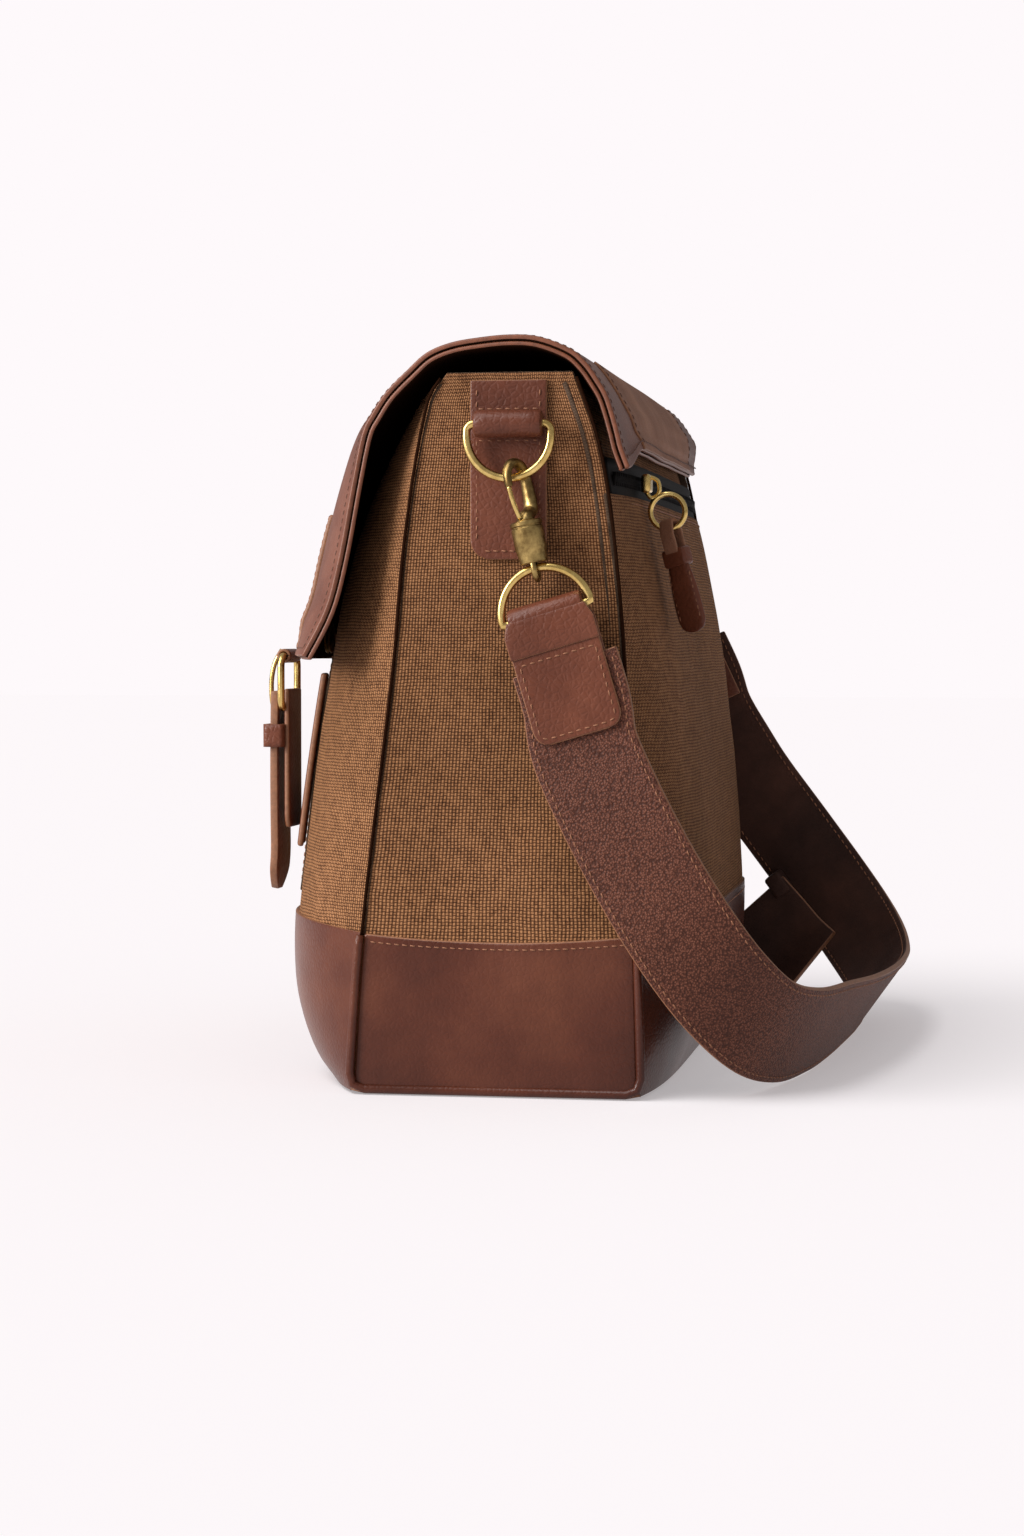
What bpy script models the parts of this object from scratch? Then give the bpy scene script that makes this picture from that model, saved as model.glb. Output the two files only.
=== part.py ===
"""Messenger bag: canvas body on a leather base, long flap with two buckled closures, shoulder strap on snap hooks.

Metres, +Z up. X runs along the bag, +X is the near end; -Y is the front (flap side), +Y the back.
The origin is the middle of the flat base, on the surface that the bag stands on.
"""

import math

import bmesh
import bpy
from mathutils import Matrix, Vector

# ---------------------------------------------------------------- driving dimensions
HALF_LENGTH = 0.170        # outer face of each end gusset
GUSSET_TOP = 0.301
PANEL_TOP = 0.297          # front and back canvas
BAND_TOP = 0.068           # leather base band
GAP = 0.0004               # between touching pieces
CANVAS = 0.0028            # thicknesses
LEATHER = 0.0030
FLAP_LEATHER = 0.0050
GUSSET_INNER = HALF_LENGTH - CANVAS
PANEL_END = GUSSET_INNER - GAP
SWELL_POWER = 5            # how squarely the panels bulge between the gussets

# (height, depth) down the gusset's two seams, and how far each panel swells past its seams at mid-length
FRONT_SEAM = [(0.0, -0.0605), (0.068, -0.0556), (0.180, -0.0420), (0.237, -0.0365), (0.290, -0.0270), (0.301, -0.0200)]
BACK_SEAM = [(0.0, 0.0605), (0.068, 0.0585), (0.180, 0.0540), (0.237, 0.0490), (0.272, 0.0430), (0.301, 0.0330)]
FRONT_SWELL = [(0.0, 0.018), (0.010, 0.031), (0.027, 0.041), (0.045, 0.046), (0.075, 0.048), (0.180, 0.046),
               (0.240, 0.037), (0.270, 0.027), (0.301, 0.0125)]
BACK_SWELL = [(0.0, 0.006), (0.030, 0.018), (0.066, 0.022), (0.120, 0.0205), (0.182, 0.016), (0.213, 0.0120),
              (0.251, 0.0075), (0.301, 0.003)]

# back pocket, its zip and the fixed yoke of the flap
POCKET_TOP = 0.251
ZIP_TOP = 0.2630
ZIP_HEIGHT = 0.2575
ZIP_START = 0.108

# flap: outer line of its end edge from the hinge at the back shoulder over the top and down the front (y, z)
HINGE_Y = 0.0455
HINGE_Z = 0.2920
FLAP_HALF = 0.1735
FLAP_SWELL = 0.0224
SWELL_TOP = 0.3155         # the flap's swell grows from this height down, over this depth
SWELL_DEPTH = 0.100
TIP_TUCK = 0.25            # how much of its swell the flap loses over the last TIP_DEPTH of height above TIP_Z
TIP_Z = 0.184
TIP_DEPTH = 0.016
FLAP_LINE = [(0.0440, 0.2970), (0.0390, 0.3040), (0.0320, 0.3100), (0.0190, 0.3150), (0.0070, 0.3160),
             (-0.0060, 0.3150), (-0.0180, 0.3130), (-0.0280, 0.3090), (-0.0360, 0.3020), (-0.0450, 0.2930),
             (-0.0510, 0.2840), (-0.0550, 0.2760), (-0.0590, 0.2570), (-0.0650, 0.2250), (-0.0710, 0.2030),
             (-0.0810, 0.1840)]
YOKE_LINE = [(0.0492, 0.2865), (0.0508, 0.2810), (0.0532, 0.2735), (0.0555, 0.2650)]

# closures on the front
CLOSURE_X = 0.100
CLOSURE_WIDTH = 0.024
BUCKLE_Z = 0.1720
BUCKLE_Y = -0.1040
BUCKLE_WIDTH = 0.034
BUCKLE_HEIGHT = 0.026
TAIL_TOP = 0.1680
TAIL_END = 0.0810
SNAP_Z = 0.1915
SNAP_RADIUS = 0.0070

# rings and snap hooks at each end (distances down the hook start at the centre of the ring's round part)
RING_X = 0.1795
RING_Y = 0.0075
RING_ARC_Z = 0.2742
RING_R = 0.0175
RING_BAR_Z = 0.2790
WIRE = 0.0017
HOOK_X = 0.1818
HOOK_WIRE = 0.0016
HOOK_HALF = 0.0060
STRAP_RING_R = 0.0188
TAB_LENGTH = 0.0565
STRAP_WIDTH = 0.045
STRAP_THICK = 0.0030
# lean of the hook and of the strap's end from the vertical, at the near and the far end, in degrees
HANG = {"near": (12.0, 16.5), "far": (17.0, 25.0)}

# the strap from the near tab to the far tab: centreline (x, y, z) and, at each point, the direction from
# its lower edge to its upper edge
STRAP_ROUTE = [
    ((0.1830, 0.0396, 0.1463), (0.00, 0.959, 0.284)),
    ((0.1840, 0.0500, 0.1230), (0.00, 0.930, 0.367)),
    ((0.1840, 0.0640, 0.0965), (0.00, 0.880, 0.475)),
    ((0.1820, 0.0800, 0.0700), (-0.05, 0.800, 0.600)),
    ((0.1740, 0.0960, 0.0470), (-0.10, 0.680, 0.726)),
    ((0.1560, 0.1110, 0.0300), (-0.15, 0.560, 0.815)),
    ((0.1260, 0.1230, 0.0230), (-0.10, 0.480, 0.872)),
    ((0.0850, 0.1330, 0.0220), (-0.05, 0.480, 0.876)),
    ((0.0400, 0.1400, 0.0210), (0.00, 0.540, 0.842)),
    ((-0.0100, 0.1450, 0.0205), (0.00, 0.580, 0.815)),
    ((-0.0600, 0.1480, 0.0205), (0.00, 0.580, 0.815)),
    ((-0.1050, 0.1480, 0.0215), (0.05, 0.560, 0.827)),
    ((-0.1450, 0.1430, 0.0285), (0.12, 0.600, 0.791)),
    ((-0.1730, 0.1310, 0.0430), (0.10, 0.730, 0.676)),
    ((-0.1830, 0.1150, 0.0640), (0.04, 0.800, 0.599)),
    ((-0.1840, 0.0960, 0.0895), (0.00, 0.822, 0.570)),
    ((-0.1840, 0.0770, 0.1150), (0.00, 0.850, 0.527)),
    ((-0.1840, 0.0660, 0.1320), (0.00, 0.880, 0.475)),
    ((-0.1830, 0.0544, 0.1520), (0.00, 0.906, 0.423)),
]
TAIL_ROUTE = [
    ((-0.1620, 0.0800, 0.0560), (0.0, 0.50, 0.866)),
    ((-0.1620, 0.0900, 0.0450), (0.0, 0.56, 0.828)),
    ((-0.1600, 0.1000, 0.0340), (0.0, 0.62, 0.785)),
    ((-0.1520, 0.1100, 0.0260), (0.0, 0.64, 0.768)),
]

CANVAS_COLOUR = (0.27, 0.14, 0.045, 1.0)
LEATHER_COLOUR = (0.13, 0.036, 0.018, 1.0)
STRAP_COLOUR = (0.085, 0.032, 0.022, 1.0)
BRASS_COLOUR = (0.58, 0.40, 0.13, 1.0)
BLACK_COLOUR = (0.012, 0.012, 0.013, 1.0)
BOARD_COLOUR = (0.12, 0.10, 0.08, 1.0)
LINING_COLOUR = (0.10, 0.075, 0.05, 1.0)


# ---------------------------------------------------------------- scene and materials
def fresh_collection():
    for obj in list(bpy.data.objects):
        bpy.data.objects.remove(obj)
    parts = bpy.data.collections.new("messenger_bag")
    bpy.context.scene.collection.children.link(parts)
    return parts


PARTS = fresh_collection()


def finish(name, obj, colour, rough, metal=0.0, smooth=True):
    """Name the object, put it in the bag's collection and give it its own material."""
    obj.name = name
    for old in list(obj.users_collection):
        old.objects.unlink(obj)
    PARTS.objects.link(obj)
    mat = bpy.data.materials.new(name)
    mat.use_nodes = True
    shader = mat.node_tree.nodes["Principled BSDF"]
    shader.inputs["Base Color"].default_value = colour
    shader.inputs["Roughness"].default_value = rough
    shader.inputs["Metallic"].default_value = metal
    obj.data.materials.clear()
    obj.data.materials.append(mat)
    if smooth and obj.type == "MESH":
        obj.data.shade_smooth()
        obj.data.set_sharp_from_angle(angle=math.radians(40))
    return obj


def leather(name, obj):
    return finish(name, obj, LEATHER_COLOUR, 0.42)


def canvas(name, obj):
    return finish(name, obj, CANVAS_COLOUR, 0.9)


def brass(name, obj):
    return finish(name, obj, BRASS_COLOUR, 0.28, 1.0)


# ---------------------------------------------------------------- shapes
def along(table, z):
    """Value at height z on a smooth curve through a few (height, value) points."""
    if z <= table[0][0]:
        return table[0][1]
    if z >= table[-1][0]:
        return table[-1][1]
    slopes = []
    for i in range(len(table)):
        a = table[max(i - 1, 0)]
        b = table[min(i + 1, len(table) - 1)]
        slopes.append((b[1] - a[1]) / (b[0] - a[0]))
    for i in range(len(table) - 1):
        (z0, v0), (z1, v1) = table[i], table[i + 1]
        if z <= z1:
            h = z1 - z0
            t = (z - z0) / h
            return (v0 * (1 + 2 * t) * (1 - t) ** 2 + h * slopes[i] * t * (1 - t) ** 2
                    + v1 * t * t * (3 - 2 * t) - h * slopes[i + 1] * t * t * (1 - t))
    return table[-1][1]


def swell(x, half=PANEL_END):
    return max(0.0, 1.0 - abs(x / half) ** SWELL_POWER)


def front_y(x, z):
    return along(FRONT_SEAM, z) - along(FRONT_SWELL, z) * swell(x)


def back_y(x, z):
    return along(BACK_SEAM, z) + along(BACK_SWELL, z) * swell(x)


def spread(low, high, count, crowd=1.0):
    """count + 1 values from low to high, crowded towards both ends when crowd is over 1."""
    out = []
    for i in range(count + 1):
        t = 2.0 * i / count - 1.0
        t = math.copysign(1.0 - (1.0 - abs(t)) ** crowd, t)
        out.append(low + (high - low) * (t + 1.0) / 2.0)
    return out


def grid_object(rows, closed=False):
    """A surface through rows of points; its normal is (along a row) x (row to row)."""
    bm = bmesh.new()
    verts = [[bm.verts.new(p) for p in row] for row in rows]
    for r in range(len(verts) - 1):
        columns = len(verts[r]) if closed else len(verts[r]) - 1
        for c in range(columns):
            d = (c + 1) % len(verts[r])
            bm.faces.new((verts[r][c], verts[r][d], verts[r + 1][d], verts[r + 1][c]))
    mesh = bpy.data.meshes.new("surface")
    bm.to_mesh(mesh)
    bm.free()
    return bpy.data.objects.new("surface", mesh)


def thicken(obj, thickness, offset=-1.0):
    mod = obj.modifiers.new("thickness", "SOLIDIFY")
    mod.thickness = thickness
    mod.offset = offset
    mod.use_even_offset = False
    return obj


def box_object(size, centre, bevel=0.0, turn=0.0):
    """A box turned about X, with rounded edges where bevel is given."""
    bm = bmesh.new()
    bmesh.ops.create_cube(bm, size=1.0)
    bmesh.ops.scale(bm, vec=size, verts=bm.verts)
    mesh = bpy.data.meshes.new("box")
    bm.to_mesh(mesh)
    bm.free()
    obj = bpy.data.objects.new("box", mesh)
    obj.location = centre
    obj.rotation_euler = (turn, 0.0, 0.0)
    if bevel:
        mod = obj.modifiers.new("round", "BEVEL")
        mod.width = bevel
        mod.segments = 2
    return obj


def tube_object(points, radius, closed=False, resolution=2):
    curve = bpy.data.curves.new("tube", "CURVE")
    curve.dimensions = "3D"
    curve.bevel_depth = radius
    curve.bevel_resolution = resolution
    curve.use_fill_caps = True
    spline = curve.splines.new("POLY")
    spline.points.add(len(points) - 1)
    for point, co in zip(spline.points, points):
        point.co = (*co, 1.0)
    spline.use_cyclic_u = closed
    return bpy.data.objects.new("tube", curve)


def frame_object(outer, inner, depth, bevel_points=4):
    """A flat rounded frame: outer and inner are (width, height, corner radius); lies in the local XZ plane."""
    def loop(width, height, radius):
        pts = []
        for k, (sx, sz) in enumerate(((1, 1), (-1, 1), (-1, -1), (1, -1))):
            for j in range(bevel_points + 1):
                a = math.pi / 2 * (k + j / bevel_points)
                pts.append((sx * (width / 2 - radius) + radius * math.cos(a),
                            sz * (height / 2 - radius) + radius * math.sin(a)))
        return pts
    out, inn = loop(*outer), loop(*inner)
    bm = bmesh.new()
    rings = []
    for pts, y in ((out, -depth / 2), (out, depth / 2), (inn, depth / 2), (inn, -depth / 2)):
        rings.append([bm.verts.new((p[0], y, p[1])) for p in pts])
    count = len(out)
    for r in range(4):
        a, b = rings[r], rings[(r + 1) % 4]
        for i in range(count):
            j = (i + 1) % count
            bm.faces.new((a[i], a[j], b[j], b[i]))
    bmesh.ops.recalc_face_normals(bm, faces=bm.faces)
    mesh = bpy.data.meshes.new("frame")
    bm.to_mesh(mesh)
    bm.free()
    return bpy.data.objects.new("frame", mesh)


def cylinder_object(radius, length, centre, direction, sides=20):
    bm = bmesh.new()
    bmesh.ops.create_cone(bm, cap_ends=True, segments=sides, radius1=radius, radius2=radius, depth=length)
    mesh = bpy.data.meshes.new("cylinder")
    bm.to_mesh(mesh)
    bm.free()
    obj = bpy.data.objects.new("cylinder", mesh)
    turn = Vector((0, 0, 1)).rotation_difference(Vector(direction)).to_matrix().to_4x4()
    obj.matrix_world = Matrix.Translation(Vector(centre)) @ turn
    return obj


# ---------------------------------------------------------------- body
def side_panel(surface, low, high, inset=0.0, facing=-1, half=PANEL_END, rows=8, columns=14):
    """Part of the bag's front (facing -1) or back (+1) between two heights, inset towards the inside."""
    heights = spread(low, high, rows)
    widths = spread(-half, half, columns, 1.6)
    if facing > 0:
        widths.reverse()
    return grid_object([[(x, surface(x, z) - facing * inset, z) for x in widths] for z in heights])


def build_base():
    floor_rows = []
    for x in spread(-PANEL_END + GAP, PANEL_END - GAP, 14, 1.6):
        front = front_y(x, 0.0) + LEATHER + 2 * GAP
        back = back_y(x, 0.0) - LEATHER - 2 * GAP
        floor_rows.append([(x, front + (back - front) * t, 0.0) for t in (0.0, 0.35, 0.65, 1.0)])
    leather("base_bottom", thicken(grid_object(floor_rows), LEATHER, -1.0))
    low = 0.0012
    leather("base_front", thicken(side_panel(front_y, low, BAND_TOP, rows=6), LEATHER))
    leather("base_back", thicken(side_panel(back_y, low, BAND_TOP, facing=1, rows=6), LEATHER))
    board = []
    for x in spread(-0.150, 0.150, 4):
        board.append([(x, -0.050, 0.0046), (x, 0.050, 0.0046)])
    finish("stiffener_board", thicken(grid_object(board), 0.0015, 0.0), BOARD_COLOUR, 0.8)


def end_plate(side, low, high, rows):
    """A flat end panel at x = side * HALF_LENGTH between the two gusset seams."""
    cells = []
    for z in spread(low, high, rows):
        front, back = along(FRONT_SEAM, z), along(BACK_SEAM, z)
        row = [(side * HALF_LENGTH, front + (back - front) * t, z) for t in (0.0, 0.25, 0.5, 0.75, 1.0)]
        cells.append(row if side > 0 else row[::-1])
    return thicken(grid_object(cells), CANVAS)


def build_ends():
    for word, side in (("near", 1), ("far", -1)):
        leather("base_end_" + word, end_plate(side, 0.0012, BAND_TOP, 3))
        canvas("gusset_" + word, end_plate(side, BAND_TOP + GAP, GUSSET_TOP, 8))
        leather("piping_" + word, tube_object(piping_path(side), 0.0019))


def piping_path(side):
    """Down the front seam of an end, under it and up the back seam, just outside the corners."""
    x = side * (HALF_LENGTH + 0.0024)
    down = [(x, along(FRONT_SEAM, z) - 0.0010, z) for z in spread(0.298, 0.012, 11)]
    up = [(x, along(BACK_SEAM, z) + 0.0010, z) for z in spread(0.012, 0.298, 11)]
    low = 0.0022
    return down + [(x, -0.0605, 0.0050), (x, -0.0560, low), (x, 0.0560, low), (x, 0.0605, 0.0050)] + up


def build_panels():
    canvas("canvas_front", thicken(side_panel(front_y, BAND_TOP + GAP, PANEL_TOP, rows=9), CANVAS))
    tuck = 1.5 * CANVAS
    canvas("canvas_back", thicken(side_panel(back_y, BAND_TOP + GAP, PANEL_TOP, tuck, 1, rows=9), CANVAS))
    canvas("back_pocket", thicken(side_panel(back_y, BAND_TOP + GAP, POCKET_TOP, 0.0, 1, rows=7), CANVAS))
    pocket = side_panel(front_y, 0.078, 0.214, -0.0032, -1, half=0.080, rows=5, columns=8)
    canvas("front_pocket", thicken(pocket, 0.0025))
    finish("laptop_divider", box_object((0.310, 0.005, 0.232), (0.0, 0.0185, 0.124), 0.002), LINING_COLOUR, 0.9)


def build_zip():
    """The tape that bridges the pocket's top edge and the yoke, its slider, and the leather pull."""
    rows = []
    for z in spread(POCKET_TOP + GAP, ZIP_TOP, 2):
        rows.append([(x, back_y(x, z) - GAP, z) for x in spread(0.155, -0.155, 14, 1.4)])
    finish("zip_tape", thicken(grid_object(rows), 0.0022), BLACK_COLOUR, 0.5)
    clear_y = back_y(0.0, ZIP_HEIGHT) + 0.0006      # the slider runs straight, clear of the panel's swell
    depth = 0.0050
    brass("zip_slider", box_object((0.011, depth, 0.008), (ZIP_START, clear_y + depth / 2, ZIP_HEIGHT), 0.001))
    ring_y, ring_z, ring_r, wire = clear_y + depth + 0.0065, 0.2455, 0.0075, 0.0011
    turns = [2 * math.pi * i / 20 for i in range(20)]
    ring = [(ZIP_START, ring_y + ring_r * math.sin(a), ring_z + ring_r * math.cos(a)) for a in turns]
    brass("zip_ring", tube_object(ring, wire, closed=True))
    lean = math.radians(15.0)
    length = 0.046
    top = Vector((ZIP_START, ring_y + 0.0010, ring_z - ring_r - wire - GAP))
    middle = top + Matrix.Rotation(lean, 3, "X") @ Vector((0.0, 0.0, -length / 2))
    leather("zip_pull", box_object((0.0050, 0.0140, length), middle - Vector((0, 0, 0.0008)), 0.0012, lean))


# ---------------------------------------------------------------- flap
def flap_point(line, x, s, out):
    """Point s steps along a flap line at length x, moved out from it; the flap swells down its front."""
    i = min(int(s), len(line) - 2)
    t = s - i
    (y0, z0), (y1, z1) = line[i], line[i + 1]
    before, after = line[max(i - 1, 0)], line[min(i + 2, len(line) - 1)]
    first = Vector((y1 - before[0], z1 - before[1])).normalized()
    second = Vector((after[0] - y0, after[1] - z0)).normalized()
    tangent = first.lerp(second, t)
    tangent.normalize()
    y = y0 + (y1 - y0) * t + out * tangent.y
    z = z0 + (z1 - z0) * t - out * tangent.x
    down = min(max((SWELL_TOP - z0 - (z1 - z0) * t) / SWELL_DEPTH, 0.0), 1.0) if y < 0.0 else 0.0
    tip = min(max((TIP_Z + TIP_DEPTH - z0 - (z1 - z0) * t) / TIP_DEPTH, 0.0), 1.0)
    grown = (1.0 - (1.0 - down) ** 2) * (1.0 - TIP_TUCK * tip)
    return (x, y - FLAP_SWELL * grown * swell(x, FLAP_HALF), z)


def flap_strip(line, xs, steps, out, thickness):
    rows = [[flap_point(line, x, s, out) for x in xs] for s in steps]
    return thicken(grid_object(rows), thickness)


def build_flap():
    xs = spread(FLAP_HALF, -FLAP_HALF, 12, 1.5)
    steps = list(range(len(FLAP_LINE)))
    leather("flap", flap_strip(FLAP_LINE, xs, steps, 0.0, FLAP_LEATHER))
    leather("flap_yoke", flap_strip(YOKE_LINE, [FLAP_HALF, 0.0, -FLAP_HALF], [0, 1, 2, 3], 0.0, LEATHER))


def build_closure(word, side):
    """Leather strap on the flap, buckle frame and prong, hanging tail with its keeper, and the body's strap."""
    x0 = side * CLOSURE_X
    half = CLOSURE_WIDTH / 2
    xs = [x0 + half, x0, x0 - half]
    last = len(FLAP_LINE) - 1
    lift = LEATHER + 2 * GAP
    strap = flap_strip(FLAP_LINE, xs, [last - 2.6, last - 2, last - 1, last - 0.1], lift + 0.0003, LEATHER)
    leather("closure_strap_" + word, strap)
    frame = frame_object((BUCKLE_WIDTH, BUCKLE_HEIGHT, 0.006), (BUCKLE_WIDTH - 0.006, BUCKLE_HEIGHT - 0.006, 0.004), 0.003)
    frame.location = (x0, BUCKLE_Y, BUCKLE_Z)
    brass("buckle_frame_" + word, frame)
    prong = [(x0, BUCKLE_Y - 0.0032, BUCKLE_Z + 0.0140), (x0, BUCKLE_Y - 0.0065, BUCKLE_Z + 0.0080),
             (x0, BUCKLE_Y - 0.0080, BUCKLE_Z), (x0, BUCKLE_Y - 0.0078, BUCKLE_Z - 0.0110)]
    brass("buckle_prong_" + word, tube_object(prong, 0.0011))
    tail_y = BUCKLE_Y - 0.0038
    tail = box_object((CLOSURE_WIDTH, 0.0036, TAIL_TOP - TAIL_END), (x0, tail_y, (TAIL_TOP + TAIL_END) / 2), 0.001)
    leather("closure_tail_" + word, tail)
    keeper = frame_object((CLOSURE_WIDTH + 0.006, 0.0096, 0.002), (CLOSURE_WIDTH + 0.0012, 0.0048, 0.001), 0.010, 2)
    keeper.location = (x0, tail_y, 0.1485)
    keeper.rotation_euler = (math.pi / 2, 0.0, 0.0)
    leather("keeper_" + word, keeper)
    rows = []
    for z in spread(0.100, 0.176, 5):
        rows.append([(x, front_y(x, z) - LEATHER - 3 * GAP, z) for x in (x0 - half, x0, x0 + half)])
    leather("closure_tab_" + word, thicken(grid_object(rows), LEATHER - GAP))
    body_y = min(front_y(x0 - SNAP_RADIUS, SNAP_Z), front_y(x0 + SNAP_RADIUS, SNAP_Z), front_y(x0, SNAP_Z - SNAP_RADIUS))
    thick = 0.0014
    socket_y = body_y - GAP - thick / 2
    brass("snap_socket_" + word, cylinder_object(SNAP_RADIUS, thick, (x0, socket_y, SNAP_Z), (0, 1, 0)))
    cap_y = socket_y - thick - GAP
    brass("snap_cap_" + word, cylinder_object(SNAP_RADIUS, thick, (x0, cap_y, SNAP_Z), (0, 1, 0)))


# ---------------------------------------------------------------- rings, hooks and strap
def sleeve_object(outer, inner, length, centre, direction, sides=20):
    """A tube with a hole along its length, as a folded leather loop round a wire."""
    bm = bmesh.new()
    loops = []
    for radius, z in ((outer, -length / 2), (outer, length / 2), (inner, length / 2), (inner, -length / 2)):
        angles = [2 * math.pi * i / sides for i in range(sides)]
        loops.append([bm.verts.new((radius * math.cos(a), radius * math.sin(a), z)) for a in angles])
    for k in range(4):
        a, b = loops[k], loops[(k + 1) % 4]
        for i in range(sides):
            j = (i + 1) % sides
            bm.faces.new((a[i], a[j], b[j], b[i]))
    bmesh.ops.recalc_face_normals(bm, faces=bm.faces)
    mesh = bpy.data.meshes.new("sleeve")
    bm.to_mesh(mesh)
    bm.free()
    obj = bpy.data.objects.new("sleeve", mesh)
    turn = Vector((0, 0, 1)).rotation_difference(Vector(direction)).to_matrix().to_4x4()
    obj.matrix_world = Matrix.Translation(Vector(centre)) @ turn
    return obj


def arc(centre, radius, start, end, count):
    """Points of an arc in a plane, as (across, down) pairs; angles in degrees from +across towards +down."""
    out = []
    for i in range(count + 1):
        a = math.radians(start + (end - start) * i / count)
        out.append((centre[0] + radius * math.cos(a), centre[1] + radius * math.sin(a)))
    return out


def build_end_fittings(word, side):
    """Ring tab and D-ring on the gusset, snap hook with gate and swivel, strap ring and stitched strap tab."""
    hang, lean = (math.radians(a) for a in HANG[word])
    patch = box_object((0.0022, 0.032, 0.074), (side * (HALF_LENGTH + 0.0015), 0.0063, 0.2605), 0.0006)
    leather("ring_patch_" + word, patch)
    ring_x = side * RING_X
    bar = (ring_x, RING_Y, RING_BAR_Z)
    leather("ring_loop_" + word, sleeve_object(0.0056, 0.0022, 0.0285, bar, (0, 1, 0)))
    ring = [(ring_x, RING_Y + a, RING_ARC_Z - d) for a, d in arc((0, 0), RING_R, 0, 180, 16)]
    ring += [(ring_x, RING_Y - RING_R, RING_BAR_Z - 0.001), (ring_x, RING_Y - RING_R + 0.001, RING_BAR_Z),
             (ring_x, RING_Y + RING_R - 0.001, RING_BAR_Z), (ring_x, RING_Y + RING_R, RING_BAR_Z - 0.001)]
    brass("d_ring_" + word, tube_object(ring, WIRE, closed=True))

    top = Vector((side * HOOK_X, RING_Y, RING_ARC_Z))
    down = Vector((0.0, math.sin(hang), -math.cos(hang)))
    out = Vector((side, 0.0, 0.0))

    def at(across, distance):
        return top + out * across + down * distance

    hook = [at(HOOK_HALF, 0.0210)]
    hook += [at(a, d) for a, d in arc((0.0, 0.0181), HOOK_HALF, 0, -180, 10)]
    hook += [at(-HOOK_HALF, 0.0290), at(-0.0052, 0.0316), at(-0.0026, 0.0332), at(-0.0003, 0.0342), at(0.0, 0.0354)]
    brass("snap_hook_" + word, tube_object(hook, HOOK_WIRE))
    brass("hook_gate_" + word, tube_object([at(HOOK_HALF, 0.0310), at(HOOK_HALF, 0.0216)], 0.0011))
    barrel_top, barrel_end = 0.0363, 0.0503
    centre = at(0.0, (barrel_top + barrel_end) / 2)
    brass("hook_barrel_" + word, cylinder_object(0.0062, barrel_end - barrel_top, centre, down))
    eye_half = 0.0042
    eye = [at(-eye_half, 0.0533), at(-eye_half + 0.001, 0.0523), at(eye_half - 0.001, 0.0523), at(eye_half, 0.0533)]
    eye += [at(a, d) for a, d in arc((0.0, 0.0562), eye_half, 0, 180, 8)]
    brass("swivel_eye_" + word, tube_object(eye, 0.0013, closed=True))

    tilt = (hang + lean) / 2
    eye_centre = at(0.0, 0.0557)
    ring_centre = eye_centre + Vector((0.0, math.sin(tilt), -math.cos(tilt))) * STRAP_RING_R
    along_strap = Vector((0.0, math.sin(lean), -math.cos(lean)))
    across = Vector((0.0, math.cos(lean), math.sin(lean)))
    ring = [ring_centre + across * a + along_strap * d for a, d in arc((0.0, 0.0), STRAP_RING_R, -180, 0, 16)]
    brass("strap_ring_" + word, tube_object(ring, WIRE, closed=True))
    leather("strap_loop_" + word, sleeve_object(0.0052, 0.0022, 0.0320, ring_centre, across))
    fold_end = 0.0060
    middle = ring_centre + along_strap * (fold_end + TAB_LENGTH) / 2
    size = (0.0080, 0.0375, TAB_LENGTH - fold_end - GAP)
    leather("strap_tab_" + word, box_object(size, middle, 0.001, lean))


def smooth_route(route, per_span=3):
    """Points and width directions on a smooth curve through the route's own points."""
    out = []
    for i in range(len(route) - 1):
        p = [route[max(i - 1, 0)], route[i], route[i + 1], route[min(i + 2, len(route) - 1)]]
        for k in range(per_span):
            t = k / per_span
            values = []
            for which in (0, 1):
                a, b, c, d = (Vector(q[which]) for q in p)
                values.append(0.5 * ((2 * b) + (c - a) * t + (2 * a - 5 * b + 4 * c - d) * t * t
                                     + (3 * b - a - 3 * c + d) * t ** 3))
            out.append((values[0], values[1].normalized()))
    out.append((Vector(route[-1][0]), Vector(route[-1][1]).normalized()))
    return out


def ribbon(name, route, width):
    rows = [[p - w * width / 2, p + w * width / 2] for p, w in smooth_route(route)]
    finish(name, thicken(grid_object(rows), STRAP_THICK, 0.0), STRAP_COLOUR, 0.7)


def main():
    build_base()
    build_ends()
    build_panels()
    build_zip()
    build_flap()
    for word, side in (("near", 1), ("far", -1)):
        build_closure(word, side)
        build_end_fittings(word, side)
    ribbon("shoulder_strap", STRAP_ROUTE, STRAP_WIDTH)
    ribbon("strap_tail", TAIL_ROUTE, 0.038)


main()
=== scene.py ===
"""Looks of the messenger bag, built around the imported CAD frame.

Metres, +Z up. +X is the near end, -Y the flap's front.
"""

import math

import bmesh
import bpy
from mathutils import Matrix, Vector, noise


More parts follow.
